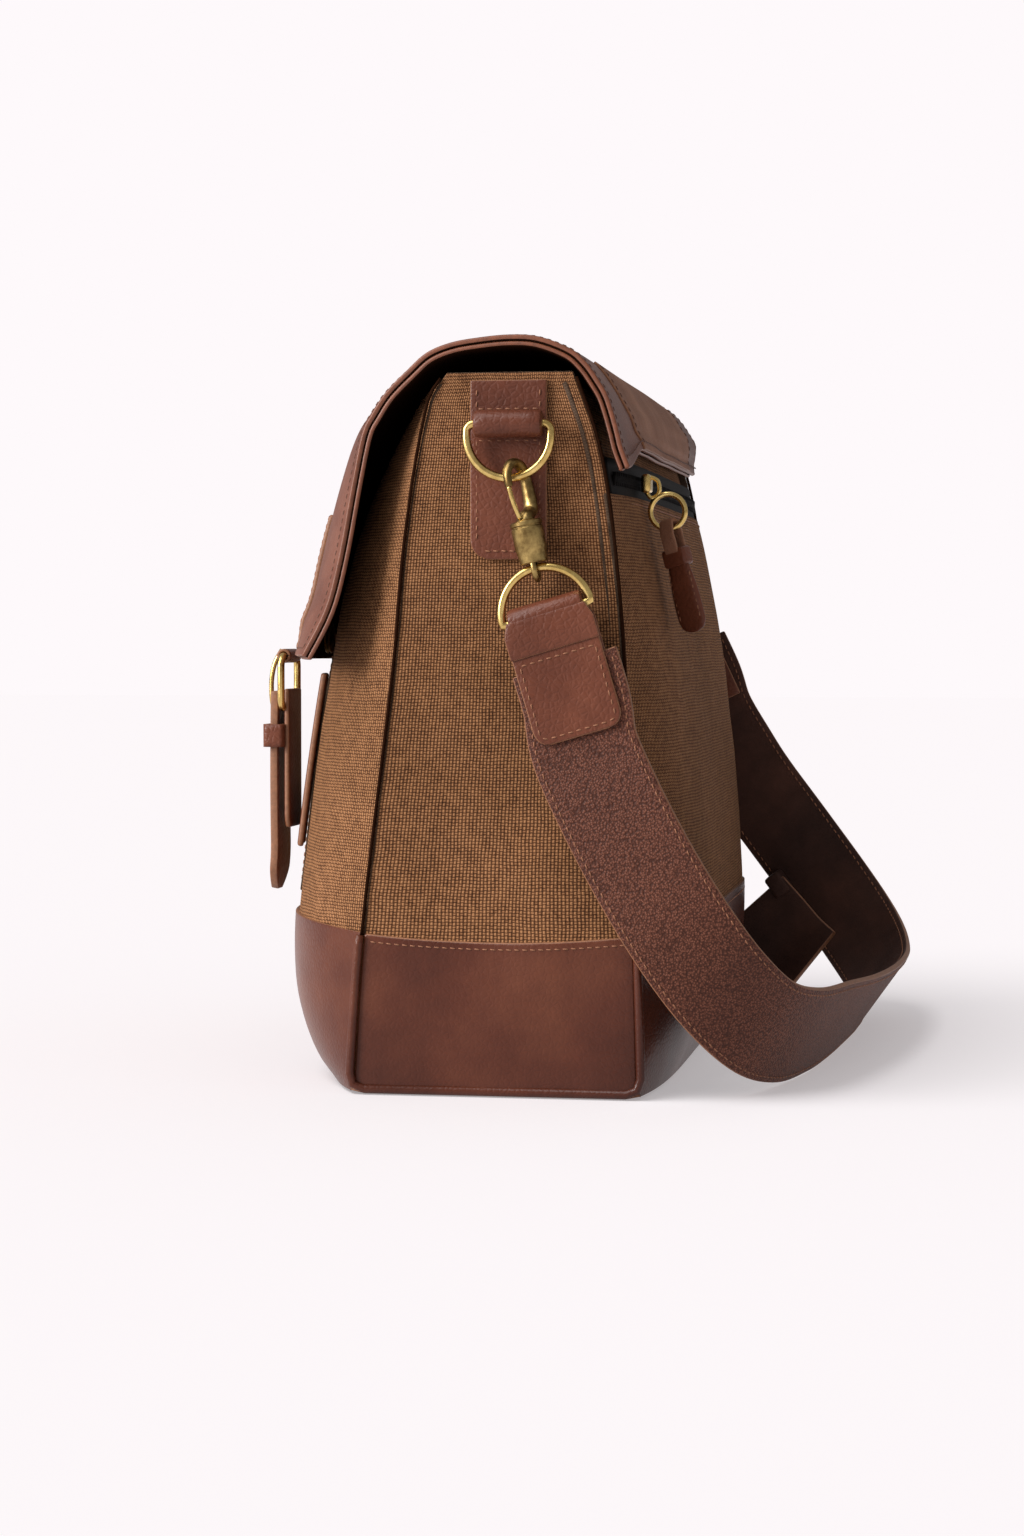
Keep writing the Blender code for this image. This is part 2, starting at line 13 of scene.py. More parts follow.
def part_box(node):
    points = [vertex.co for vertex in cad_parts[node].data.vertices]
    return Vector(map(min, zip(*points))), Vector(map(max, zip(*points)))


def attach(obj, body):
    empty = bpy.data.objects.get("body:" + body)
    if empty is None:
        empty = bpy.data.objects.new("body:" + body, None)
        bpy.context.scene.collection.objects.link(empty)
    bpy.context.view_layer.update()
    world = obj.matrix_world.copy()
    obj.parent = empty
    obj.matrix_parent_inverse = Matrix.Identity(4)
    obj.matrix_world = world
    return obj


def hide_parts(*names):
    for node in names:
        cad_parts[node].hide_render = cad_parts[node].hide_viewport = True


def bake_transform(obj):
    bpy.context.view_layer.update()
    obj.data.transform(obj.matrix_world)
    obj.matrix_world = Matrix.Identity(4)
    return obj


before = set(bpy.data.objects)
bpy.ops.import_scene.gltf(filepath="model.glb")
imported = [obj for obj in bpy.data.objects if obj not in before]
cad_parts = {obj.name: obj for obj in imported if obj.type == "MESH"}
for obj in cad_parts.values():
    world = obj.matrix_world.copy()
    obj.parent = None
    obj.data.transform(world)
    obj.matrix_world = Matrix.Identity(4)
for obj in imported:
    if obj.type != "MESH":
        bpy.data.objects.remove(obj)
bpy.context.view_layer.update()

# ------------------------------------------------------------------ shape of the bag, as the CAD model has it
HALF_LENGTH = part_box("gusset_near")[1].x
GUSSET_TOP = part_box("gusset_near")[1].z
BAND_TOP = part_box("base_end_near")[1].z
POCKET_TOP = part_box("back_pocket")[1].z
PANEL_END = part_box("canvas_front")[1].x
SWELL_POWER = 5
FRONT_SEAM = [(0.0, -0.0605), (0.068, -0.0556), (0.180, -0.0420), (0.237, -0.0365), (0.290, -0.0270), (0.301, -0.0200)]
BACK_SEAM = [(0.0, 0.0605), (0.068, 0.0585), (0.180, 0.0540), (0.237, 0.0490), (0.272, 0.0430), (0.301, 0.0330)]
FRONT_SWELL = [(0.0, 0.018), (0.010, 0.031), (0.027, 0.041), (0.045, 0.046), (0.075, 0.048), (0.180, 0.046),
               (0.240, 0.037), (0.270, 0.027), (0.301, 0.0125)]
BACK_SWELL = [(0.0, 0.006), (0.030, 0.018), (0.066, 0.022), (0.120, 0.0205), (0.182, 0.016), (0.213, 0.0120),
              (0.251, 0.0075), (0.301, 0.003)]
FLAP_SWELL = 0.0224
SWELL_TOP = 0.3155
SWELL_DEPTH = 0.100
TIP_TUCK, TIP_Z, TIP_DEPTH = 0.25, 0.184, 0.016
FLAP_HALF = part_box("flap")[1].x
FLAP_LINE = [(0.0440, 0.2970), (0.0390, 0.3040), (0.0320, 0.3100), (0.0190, 0.3150), (0.0070, 0.3160),
             (-0.0060, 0.3150), (-0.0180, 0.3130), (-0.0280, 0.3090), (-0.0360, 0.3020), (-0.0450, 0.2930),
             (-0.0510, 0.2840), (-0.0550, 0.2760), (-0.0590, 0.2570), (-0.0650, 0.2250), (-0.0710, 0.2030),
             (-0.0810, 0.1840)]
YOKE_LINE = [(0.0570, 0.2610), (0.0540, 0.2690), (0.0525, 0.2750), (0.0500, 0.2840), (0.0475, 0.2910)]
RING_Y, RING_ARC_Z, RING_R, RING_BAR_Z = 0.0075, 0.2742, 0.0175, 0.2790
RING_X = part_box("d_ring_near")[1].x - 0.0017
HOOK_X = 0.1818
WIRE = 0.0017
HANG = {"near": (12.0, 16.5), "far": (17.0, 25.0)}
STRAP_RING_R = 0.0188
STRAP_WIDTH = 0.045
STRAP_THICK = 0.0030
CLOSURE_X = 0.100
CLOSURE_HALF = 0.012       # half a closure strap's width
BUCKLE_WIRE = 0.0016
TAIL_TIP = 0.010           # height of a closure tail's pointed tip
PANEL_TOP = 0.297
TURNED_IN = 0.004          # how far the canvas runs down behind the base band
CLOTH = 0.0024             # canvas thickness
BAND_SEAM = 0.0034         # the band's sewing, below its top edge
POCKET_HALF, POCKET_LOW, POCKET_HIGH = 0.080, 0.078, 0.214
ZIP_Z = 0.2575
TAB_WIDTH = 0.0375         # leather at the strap's ends
SEWN_IN = 0.0025           # sewing, in from a closure strap's edges

# the strap's route, the same points as its CAD solid: centreline and direction across it, near end to far end
STRAP_ROUTE = [
    ((0.1830, 0.0396, 0.1463), (0.00, 0.959, 0.284)),
    ((0.1840, 0.0500, 0.1230), (0.00, 0.930, 0.367)),
    ((0.1840, 0.0640, 0.0965), (0.00, 0.880, 0.475)),
    ((0.1820, 0.0800, 0.0700), (-0.05, 0.800, 0.600)),
    ((0.1740, 0.0960, 0.0470), (-0.10, 0.680, 0.726)),
    ((0.1560, 0.1110, 0.0300), (-0.15, 0.560, 0.815)),
    ((0.1260, 0.1230, 0.0230), (-0.10, 0.480, 0.872)),
    ((0.0850, 0.1330, 0.0220), (-0.05, 0.480, 0.876)),
    ((0.0400, 0.1400, 0.0210), (0.00, 0.540, 0.842)),
    ((-0.0100, 0.1450, 0.0205), (0.00, 0.580, 0.815)),
    ((-0.0600, 0.1480, 0.0205), (0.00, 0.580, 0.815)),
    ((-0.1050, 0.1480, 0.0215), (0.05, 0.560, 0.827)),
    ((-0.1450, 0.1430, 0.0285), (0.12, 0.600, 0.791)),
    ((-0.1730, 0.1310, 0.0430), (0.10, 0.730, 0.676)),
    ((-0.1830, 0.1150, 0.0640), (0.04, 0.800, 0.599)),
    ((-0.1840, 0.0960, 0.0895), (0.00, 0.822, 0.570)),
    ((-0.1840, 0.0770, 0.1150), (0.00, 0.850, 0.527)),
    ((-0.1840, 0.0660, 0.1320), (0.00, 0.880, 0.475)),
    ((-0.1830, 0.0544, 0.1520), (0.00, 0.906, 0.423)),
]
TAIL_ROUTE = [
    ((-0.1620, 0.0800, 0.0560), (0.0, 0.50, 0.866)),
    ((-0.1620, 0.0900, 0.0450), (0.0, 0.56, 0.828)),
    ((-0.1600, 0.1000, 0.0340), (0.0, 0.62, 0.785)),
    ((-0.1520, 0.1100, 0.0260), (0.0, 0.64, 0.768)),
]


# ------------------------------------------------------------------ node helpers for materials
class Shader:
    """A material's node tree with a Principled shader, and short ways to add nodes to it."""

    def __init__(self, name):
        self.mat = bpy.data.materials.new(name)
        self.mat.use_nodes = True
        self.tree = self.mat.node_tree
        self.bsdf = self.tree.nodes["Principled BSDF"]

    def set(self, **values):
        for key, value in values.items():
            self.bsdf.inputs[key.replace("_", " ")].default_value = value
        return self

    def finish(self, colour, normal, rough, **values):
        """Join colour, normal and roughness to the shader, set its other inputs, and return the material."""
        for socket, source in (("Base Color", colour), ("Normal", normal), ("Roughness", rough)):
            self.feed(self.bsdf.inputs[socket], source)
        return self.set(**values).mat

    def link(self, a, b):
        self.tree.links.new(a, b)

    def node(self, kind, **inputs):
        made = self.tree.nodes.new(kind)
        for key, value in inputs.items():
            self.feed(made.inputs[key.replace("_", " ")], value)
        return made

    def feed(self, socket, value):
        if hasattr(value, "is_linked") or hasattr(value, "links"):
            self.link(value, socket)
        else:
            socket.default_value = value

    def math(self, operation, a, b=None):
        made = self.tree.nodes.new("ShaderNodeMath")
        made.operation = operation
        self.feed(made.inputs[0], a)
        if b is not None:
            self.feed(made.inputs[1], b)
        return made.outputs[0]

    def noise(self, vector, scale, detail=4.0, rough=0.55):
        made = self.node("ShaderNodeTexNoise", Vector=vector, Scale=scale, Detail=detail, Roughness=rough)
        return made.outputs["Fac"]

    def ramp(self, value, stops):
        made = self.tree.nodes.new("ShaderNodeValToRGB")
        ramp = made.color_ramp
        while len(ramp.elements) < len(stops):
            ramp.elements.new(0.5)
        for element, (position, colour) in zip(ramp.elements, stops):
            element.position = position
            element.color = (*colour, 1.0)
        self.link(value, made.inputs["Fac"])
        return made.outputs["Color"]

    def mix(self, factor, a, b, blend="MIX"):
        made = self.tree.nodes.new("ShaderNodeMix")
        made.data_type = "RGBA"
        made.blend_type = blend
        self.feed(made.inputs["Factor"], factor)
        self.feed(made.inputs[6], a)
        self.feed(made.inputs[7], b)
        return made.outputs[2]

    def bump(self, height, strength, distance, below=None):
        made = self.node("ShaderNodeBump", Strength=strength, Distance=distance, Height=height)
        if below is not None:
            self.link(below, made.inputs["Normal"])
        return made.outputs["Normal"]

    def uv(self):
        return self.tree.nodes.new("ShaderNodeTexCoord").outputs["UV"]

    def place(self):
        return self.tree.nodes.new("ShaderNodeTexCoord").outputs["Object"]


def canvas_material(name, light, mid, dark, pitch=0.00135):
    """Coarse plain weave drawn in the cloth's own UV, in metres, with uneven yarns and slubs."""
    s = Shader(name)
    place = s.place()
    wobble = s.node("ShaderNodeTexNoise", Vector=place, Scale=55.0, Detail=3.0)
    shift = s.node("ShaderNodeVectorMath", Vector=s.uv())
    shift.operation = "MULTIPLY_ADD"
    s.link(wobble.outputs["Color"], shift.inputs[0])
    shift.inputs[1].default_value = (0.0016, 0.0016, 0.0)
    s.link(s.uv(), shift.inputs[2])
    split = s.node("ShaderNodeSeparateXYZ", Vector=shift.outputs[0])
    u = s.math("DIVIDE", split.outputs["X"], pitch)
    v = s.math("DIVIDE", split.outputs["Y"], pitch)
    over = s.math("MODULO", s.math("ADD", s.math("FLOOR", u), s.math("FLOOR", v)), 2.0)
    cu = s.math("SINE", s.math("MULTIPLY", s.math("FRACT", u), math.pi))
    cv = s.math("SINE", s.math("MULTIPLY", s.math("FRACT", v), math.pi))
    warp = s.math("MULTIPLY", cu, s.math("ADD", 0.60, s.math("MULTIPLY", cv, 0.40)))
    weft = s.math("MULTIPLY", cv, s.math("ADD", 0.30, s.math("MULTIPLY", cu, 0.55)))
    woven = s.math("ADD", s.math("MULTIPLY", warp, over), s.math("MULTIPLY", weft, s.math("SUBTRACT", 1.0, over)))
    slub = s.noise(place, 520.0, 3.0, 0.75)
    uneven = s.noise(place, 210.0, 2.0, 0.6)
    fuzz = s.math("ADD", s.math("MULTIPLY", slub, 0.42), s.math("MULTIPLY", uneven, 0.34))
    height = s.math("ADD", s.math("MULTIPLY", woven, 0.72), fuzz)
    # the yarn colour runs from near-black in the gaps to pale on the crowns: painted shade in the gaps and a painted
    # highlight on the crowns, added on top of the weave's bump
    thread = s.ramp(height, [(0.34, dark), (0.72, mid), (0.98, light)])
    cloud = s.ramp(s.noise(place, 9.0, 5.0, 0.6), [(0.30, (0.72, 0.70, 0.66)), (0.70, (1.10, 1.10, 1.12))])
    return s.finish(s.mix(1.0, thread, cloud, "MULTIPLY"), s.bump(height, 0.75, 0.0006), 0.9, Specular_IOR_Level=0.12)


def leather_material(name, deep, tone, glow, gloss=0.38, grain=380.0, depth=0.00022, coat=0.25, mottling=16.0):
    """Pull-up leather: a cell grain, soft mottling, fine scuffs and a clear finish."""
    s = Shader(name)
    place = s.place()
    mottled = s.noise(place, mottling, 6.0, 0.62)
    colour = s.ramp(mottled, [(0.28, deep), (0.52, tone), (0.78, glow)])
    scuff = s.ramp(s.noise(place, 160.0, 8.0, 0.75), [(0.55, (1.0, 1.0, 1.0)), (0.78, (1.22, 1.18, 1.15))])
    cells = s.node("ShaderNodeTexVoronoi", Vector=place, Scale=grain)
    cells.feature = "DISTANCE_TO_EDGE"
    pebble = s.math("MINIMUM", s.math("MULTIPLY", cells.outputs["Distance"], 4.0), 1.0)
    broad = s.bump(s.noise(place, 45.0, 4.0), 0.35, 0.0006)
    rough = s.math("ADD", gloss - 0.10, s.math("MULTIPLY", s.noise(place, 28.0, 5.0), 0.24))
    return s.finish(s.mix(0.8, colour, scuff, "MULTIPLY"), s.bump(pebble, 0.55, depth, broad), rough,
                    Coat_Weight=coat * 0.35, Coat_Roughness=0.20, Specular_IOR_Level=0.20)


def pebbled_material(name, deep, tone, glow):
    """Matte embossed strap leather, with a raised pebble that is paler on its tops."""
    s = Shader(name)
    place = s.place()
    cells = s.node("ShaderNodeTexVoronoi", Vector=place, Scale=1100.0)
    cells.feature = "F1"
    tops = s.math("SUBTRACT", 1.0, s.math("MULTIPLY", cells.outputs["Distance"], 1.2))
    bumps = s.math("ADD", tops, s.math("MULTIPLY", s.noise(place, 900.0, 2.0), 0.4))
    tones = s.ramp(bumps, [(0.35, deep), (0.75, tone), (1.0, glow)])
    broad = s.ramp(s.noise(place, 14.0, 4.0), [(0.3, (0.82, 0.80, 0.80)), (0.7, (1.15, 1.15, 1.15))])
    return s.finish(s.mix(1.0, tones, broad, "MULTIPLY"), s.bump(bumps, 0.8, 0.0004), 0.58, Specular_IOR_Level=0.2)


def brass_material(name, bright, aged, rough, wear):
    s = Shader(name)
    place = s.place()
    patina = s.noise(place, 140.0, 6.0, 0.7)
    return s.finish(s.ramp(patina, [(0.40 - wear, aged), (0.66, bright)]),
                    s.bump(s.noise(place, 700.0, 3.0), 0.12, 0.0002),
                    s.math("ADD", rough, s.math("MULTIPLY", patina, 0.18)), Metallic=1.0)


def plain_material(name, colour, rough, grain=600.0, strength=0.3, shine=0.5):
    """Small plain things: thread, edge paint, board, zip tape. Fine fibre bump and a little unevenness."""
    s = Shader(name)
    fibre = s.noise(s.place(), grain, 4.0, 0.7)
    low = tuple(0.72 * c for c in colour)
    high = tuple(1.2 * c for c in colour)
    return s.finish(s.ramp(fibre, [(0.3, low), (0.7, high)]), s.bump(fibre, strength, 0.0003), rough,
                    Specular_IOR_Level=shine)


CANVAS = canvas_material("canvas_weave", (0.33, 0.160, 0.072), (0.135, 0.055, 0.022), (0.018, 0.0065, 0.0025))
LINING = canvas_material("lining_weave", (0.10, 0.062, 0.040), (0.06, 0.036, 0.022), (0.018, 0.011, 0.007), 0.0006)
BASE_LEATHER = leather_material("base_leather_gloss", (0.028, 0.0060, 0.0030), (0.070, 0.0175, 0.0085),
                                (0.125, 0.037, 0.017), 0.34, 420.0, 0.00012, 0.30, 11.0)
TRIM_LEATHER = leather_material("trim_leather", (0.055, 0.014, 0.007), (0.110, 0.031, 0.015),
                                (0.175, 0.056, 0.029), 0.40)
FLAP_LEATHER = leather_material("flap_leather", (0.070, 0.022, 0.013), (0.120, 0.042, 0.026), (0.19, 0.078, 0.050),
                                0.44, 500.0, 0.00016, 0.15, 22.0)
SUEDE = leather_material("flap_nubuck", (0.15, 0.062, 0.034), (0.21, 0.095, 0.055), (0.28, 0.135, 0.080),
                         0.66, 800.0, 0.00020, 0.0, 24.0)
STRAP_FACE = pebbled_material("strap_pebble", (0.050, 0.014, 0.007), (0.108, 0.034, 0.018), (0.175, 0.064, 0.038))
STRAP_BACK = leather_material("strap_back", (0.022, 0.008, 0.005), (0.042, 0.016, 0.010), (0.070, 0.027, 0.017),
                              0.66, 700.0, 0.00018, 0.0, 30.0)
EDGE_TAN = plain_material("cut_edge_tan", (0.20, 0.080, 0.034), 0.55, 500.0)
TRIM = [TRIM_LEATHER, EDGE_TAN]
EDGE_ORANGE = plain_material("cut_edge_orange", (0.150, 0.042, 0.015), 0.5, 400.0)
# near-black painted shade, for the canvas seams' shaded groove, the flap's shaded underside and the dark gap between
# its plies
PAINTED_SHADE = plain_material("painted_shade_dark", (0.016, 0.006, 0.003), 1.0, shine=0.0)
THREAD = plain_material("thread", (0.22, 0.085, 0.038), 0.7, 900.0)
THREAD_DARK = plain_material("thread_dark", (0.085, 0.030, 0.015), 0.7, 900.0)
BRASS = brass_material("brass_polished", (0.80, 0.58, 0.22), (0.50, 0.33, 0.10), 0.16, 0.05)
ANTIQUE = brass_material("brass_antique", (0.46, 0.32, 0.12), (0.16, 0.10, 0.035), 0.28, 0.0)
ZIP_TAPE = plain_material("zip_tape_black", (0.0030, 0.0018, 0.0014), 0.75, 1200.0, 0.4, 0.12)
BOARD = plain_material("board_grey", (0.10, 0.08, 0.06), 0.85)


# ------------------------------------------------------------------ mesh helpers
def clamp(value):
    return min(max(value, 0.0), 1.0)


def along(table, z):
    """Value at height z on a smooth curve through a few (height, value) points."""
    if z <= table[0][0]:
        return table[0][1]
    for i in range(len(table) - 1):
        (z0, v0), (z1, v1) = table[i], table[i + 1]
        if z <= z1:
            before, after = table[max(i - 1, 0)], table[min(i + 2, len(table) - 1)]
            m0 = (v1 - before[1]) / (z1 - before[0])
            m1 = (after[1] - v0) / (after[0] - z0)
            h = z1 - z0
            t = (z - z0) / h
            return (v0 * (1 + 2 * t) * (1 - t) ** 2 + h * m0 * t * (1 - t) ** 2
                    + v1 * t * t * (3 - 2 * t) - h * m1 * t * t * (1 - t))
    return table[-1][1]


def swell(x, half=PANEL_END):
    return max(0.0, 1.0 - abs(x / half) ** SWELL_POWER)


def front_y(x, z):
    return along(FRONT_SEAM, z) - along(FRONT_SWELL, z) * swell(x)


def back_y(x, z):
    return along(BACK_SEAM, z) + along(BACK_SWELL, z) * swell(x)


def spread(low, high, count, crowd=1.0):
    out = []
    for i in range(count + 1):
        t = 2.0 * i / count - 1.0
        t = math.copysign(1.0 - (1.0 - abs(t)) ** crowd, t)
        out.append(low + (high - low) * (t + 1.0) / 2.0)
    return out


def add(name, mesh, mats):
    obj = bpy.data.objects.new(name, mesh)
    bpy.context.scene.collection.objects.link(obj)
    for mat in mats:
        mesh.materials.append(mat)
    mesh.shade_smooth()
    return obj


def made_of(name, bm, mats):
    """An object from a finished bmesh."""
    mesh = bpy.data.meshes.new(name)
    bm.to_mesh(mesh)
    bm.free()
    return add(name, mesh, mats)


def lengths(points):
    """Distance along a line at each of its points."""
    out = [0.0]
    for a, b in zip(points, points[1:]):
        out.append(out[-1] + (Vector(b) - Vector(a)).length)
    return out


def surface(name, rows, mats, closed=False):
    """A sheet through rows of points, with its UV in metres. Its normal is (along a row) x (row to row)."""
    bm = bmesh.new()
    layer = bm.loops.layers.uv.new("UVMap")
    verts = [[bm.verts.new(p) for p in row] for row in rows]
    mid_row = rows[len(rows) // 2]
    mid_col = [row[len(row) // 2] for row in rows]
    us = lengths(list(mid_row) + ([mid_row[0]] if closed else []))
    vs = lengths(mid_col)
    for r in range(len(verts) - 1):
        columns = len(verts[r]) if closed else len(verts[r]) - 1
        for c in range(columns):
            d = (c + 1) % len(verts[r])
            face = bm.faces.new((verts[r][c], verts[r][d], verts[r + 1][d], verts[r + 1][c]))
            for loop, (i, j) in zip(face.loops, ((c, r), (c + 1, r), (c + 1, r + 1), (c, r + 1))):
                loop[layer].uv = (us[i], vs[j])
    return made_of(name, bm, mats)


def sheet(name, rows, mats, thickness, offset=-1.0, bevel=0.35):
    """A thick sheet with rounded rims. mats are its face, its cut edge and, if given, its back."""
    obj = surface(name, rows, mats)
    mod = obj.modifiers.new("thickness", "SOLIDIFY")
    mod.thickness = thickness
    mod.offset = offset
    mod.use_even_offset = False
    mod.material_offset_rim = 1 if len(mats) > 1 else 0
    mod.material_offset = 2 if len(mats) > 2 else 0
    if bevel:
        soft = obj.modifiers.new("round", "BEVEL")
        soft.width = thickness * bevel
        soft.segments = 3
        soft.limit_method = "ANGLE"
        soft.angle_limit = math.radians(50)
    return obj


def bake(obj):
    """Replace the object's mesh by what its modifiers make of it."""
    graph = bpy.context.evaluated_depsgraph_get()
    made = bpy.data.meshes.new_from_object(obj.evaluated_get(graph), preserve_all_data_layers=True, depsgraph=graph)
    old = obj.data
    obj.modifiers.clear()
    obj.data = made
    if old.users == 0:
        bpy.data.meshes.remove(old)
    return obj


def join(name, objects):
    """One object from several, keeping each one's materials."""
    bpy.context.view_layer.update()
    for obj in objects:
        if obj.modifiers:
            bake(obj)
    bm = bmesh.new()
    mats = []
    for obj in objects:
        start = len(bm.faces)
        copy = obj.data.copy()
        copy.transform(obj.matrix_world)
        bm.from_mesh(copy)
        slots = []
        for mat in obj.data.materials:
            if mat not in mats:
                mats.append(mat)
            slots.append(mats.index(mat))
        bm.faces.ensure_lookup_table()
        for face in bm.faces[start:]:
            face.material_index = slots[min(face.material_index, len(slots) - 1)]
        bpy.data.meshes.remove(copy)
    for obj in objects:
        bpy.data.objects.remove(obj)
    return made_of(name, bm, mats)


def sweep(name, points, radius, mats, closed=False, sides=12, flat=1.0, up=(0, 0, 1)):
    """A tube along points; radius is a number or one per point, flat squashes it along the frame's second axis."""
    pts = [Vector(p) for p in points]
    count = len(pts)
    radii = radius if isinstance(radius, (list, tuple)) else [radius] * count
    rings = []
    side_axis = Vector(up)
    for i, p in enumerate(pts):
        before = pts[i - 1] if (i or closed) else p
        after = pts[(i + 1) % count] if (i < count - 1 or closed) else p
        tangent = (after - before).normalized()
        side_axis = (side_axis - tangent * side_axis.dot(tangent)).normalized()
        other = tangent.cross(side_axis)
        rings.append([p + (side_axis * math.cos(a) * flat + other * math.sin(a)) * radii[i]
                      for a in (2 * math.pi * k / sides for k in range(sides))])
    bm = bmesh.new()
    layer = bm.loops.layers.uv.new("UVMap")
    verts = [[bm.verts.new(p) for p in ring] for ring in rings]
    length = 0.0
    for i in range(count if closed else count - 1):
        a, b = verts[i], verts[(i + 1) % count]
        step = (pts[(i + 1) % count] - pts[i]).length
        for k in range(sides):
            m = (k + 1) % sides
            face = bm.faces.new((a[k], b[k], b[m], a[m]))
            for loop, uv in zip(face.loops, ((k, length), (k, length + step), (k + 1, length + step), (k + 1, length))):
                loop[layer].uv = (uv[0] * 6.28 * radii[i] / sides, uv[1])
        length += step
    if not closed:
        bm.faces.new(verts[0])
        bm.faces.new(list(reversed(verts[-1])))
    bmesh.ops.recalc_face_normals(bm, faces=bm.faces)
    return made_of(name, bm, mats)


def skin(bm, rings):
    """Faces over rings of vertices, with a cap at each end."""
    for a, b in zip(rings, rings[1:]):
        for k in range(len(a)):
            m = (k + 1) % len(a)
            bm.faces.new((a[k], a[m], b[m], b[k]))
    bm.faces.new(list(reversed(rings[0])))
    bm.faces.new(rings[-1])


def turned(name, profile, centre, direction, mats, sides=40):
    """A turned solid: profile is (radius, distance along the axis) from one end to the other, closed on the axis."""
    bm = bmesh.new()
    rings = [[bm.verts.new((r * math.cos(a), r * math.sin(a), d)) for a in
              (2 * math.pi * k / sides for k in range(sides))] for r, d in profile]
    skin(bm, rings)
    bmesh.ops.recalc_face_normals(bm, faces=bm.faces)
    obj = made_of(name, bm, mats)
    obj.data.set_sharp_from_angle(angle=math.radians(35))
    turn = Vector((0, 0, 1)).rotation_difference(Vector(direction)).to_matrix().to_4x4()
    obj.data.transform(Matrix.Translation(Vector(centre)) @ turn)
    return obj


def smooth_line(points, per_span=6):
    """A Catmull-Rom curve through points of any dimension."""
    pts = [Vector(p) for p in points]
    count = len(pts)
    out = []
    for i in range(count - 1):
        a, b, c, d = pts[max(i - 1, 0)], pts[i], pts[i + 1], pts[min(i + 2, count - 1)]
        for k in range(per_span):
            t = k / per_span
            out.append(0.5 * (2 * b + (c - a) * t + (2 * a - 5 * b + 4 * c - d) * t * t
                              + (3 * b - a - 3 * c + d) * t ** 3))
    out.append(pts[-1])
    return out


def stitches(name, runs, mat=THREAD, pitch=0.0034, length=0.0024, radius=0.00033):
    """Sewn thread: each run is (points, outward normals); one short bead for each stitch, sunk at its ends."""
    bm = bmesh.new()
    for points, normals in runs:
        pts = [Vector(p) for p in points]
        nrm = [Vector(n).normalized() for n in normals]
        total = sum((b - a).length for a, b in zip(pts, pts[1:]))
        count = max(1, int(total / pitch))
        gap = total / count
        travelled, index = 0.0, 0
        for k in range(count):
            target = (k + 0.5) * gap
            while index < len(pts) - 2 and travelled + (pts[index + 1] - pts[index]).length < target:
                travelled += (pts[index + 1] - pts[index]).length
                index += 1
            edge = pts[index + 1] - pts[index]
            if edge.length < 1e-7:
                continue
            t = clamp((target - travelled) / edge.length)
            centre = pts[index] + edge * t
            out = nrm[index].lerp(nrm[index + 1], t).normalized()
            tangent = edge.normalized()
            across = tangent.cross(out).normalized()
            tangent = (tangent + across * 0.10).normalized()
            rings = []
            for step, size, lift in ((-0.5, 0.45, -0.5), (-0.28, 0.95, 0.25), (0.28, 0.95, 0.25), (0.5, 0.45, -0.5)):
                c = centre + tangent * step * length + out * (lift - 0.35) * radius
                rings.append([bm.verts.new(c + (across * math.cos(a) + out * math.sin(a)) * radius * size)
                              for a in (math.pi / 3 * j for j in range(6))])
            skin(bm, rings)
    bmesh.ops.recalc_face_normals(bm, faces=bm.faces)
    return made_of(name, bm, [mat])


def wrinkled(x, z, seed):
    """How far a canvas point moves in or out: broad dents and a fainter fine unevenness, calm at the seams."""
    calm = min(1.0, max(0.0, (PANEL_END - abs(x)) / 0.03)) * clamp((z - BAND_TOP) / 0.02)
    broad = noise.noise(Vector((x * 9.0 + seed, z * 16.0, seed)))
    return 0.0012 * calm * (broad + 0.35 * noise.noise(Vector((x * 34.0, z * 40.0, seed))))


EDGE_REACH = (HALF_LENGTH + 0.0004) / PANEL_END      # the cloth reaches the welts at both ends


def panel_rows(shape, low, high, facing, half=PANEL_END, rows=44, columns=72, inset=0.0, seed=0.0):
    out = []
    widths = spread(-half, half, columns, 1.5)
    if facing > 0:
        widths.reverse()
    reach = EDGE_REACH if half == PANEL_END else 1.0
    for z in spread(low, high, rows):
        out.append([(x * reach, shape(x, z) + facing * (wrinkled(x, z, seed) - inset), z) for x in widths])
    return out


def unzip(pairs):
    """Points and normals for stitches, from a list of (point, normal)."""
    return [p for p, n in pairs], [n for p, n in pairs]


def round_corners(half_a, half_b, corner, steps):
    """A rounded rectangle about (0, 0) as (a, b) points, with steps + 1 of them round each corner."""
    out = []
    for sign_a, sign_b, start in ((1, 1, 0), (-1, 1, 90), (-1, -1, 180), (1, -1, 270)):
        for k in range(steps + 1):
            turn = math.radians(start + 90 * k / steps)
            out.append((sign_a * (half_a - corner) + corner * math.cos(turn),
                        sign_b * (half_b - corner) + corner * math.sin(turn)))
    return out


def box_of(node):
    """Low corner, high corner and middle of a CAD node."""
    low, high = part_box(node)
    return low, high, (low + high) / 2


def settle(obj, body, slotname, *nodes):
    """Give a finished piece its body and hide the CAD nodes it stands for; slotname is not used."""
    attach(obj, body)
    if nodes:
        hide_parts(*nodes)
    return obj


def run_on(shape, xs, z_of, facing, lift=0.0):
    """A line drawn on the front or back surface, for stitches: its points and outward normals."""
    points, normals, step = [], [], 0.002
    for x in xs:
        z = z_of(x)
        dx = (shape(x + step, z) - shape(x - step, z)) / (2 * step)
        dz = (shape(x, z + step) - shape(x, z - step)) / (2 * step)
        points.append((x, shape(x, z) + facing * lift, z))
        normals.append((Vector((-dx, 1.0, -dz)) * facing).normalized())
    return points, normals


def run_up(shape, x, zs, facing, lift=0.0):
    points, normals = [], []
    for z in zs:
        p, n = run_on(shape, [x], lambda _x: z, facing, lift)
        points += p
        normals += n
    return points, normals


# ------------------------------------------------------------------ body
def band_arch(x, z):
    """Rise of the base band along the front and back, nothing at its foot and most at its top edge."""
    return 0.0040 * swell(x) * (z / BAND_TOP) ** 2


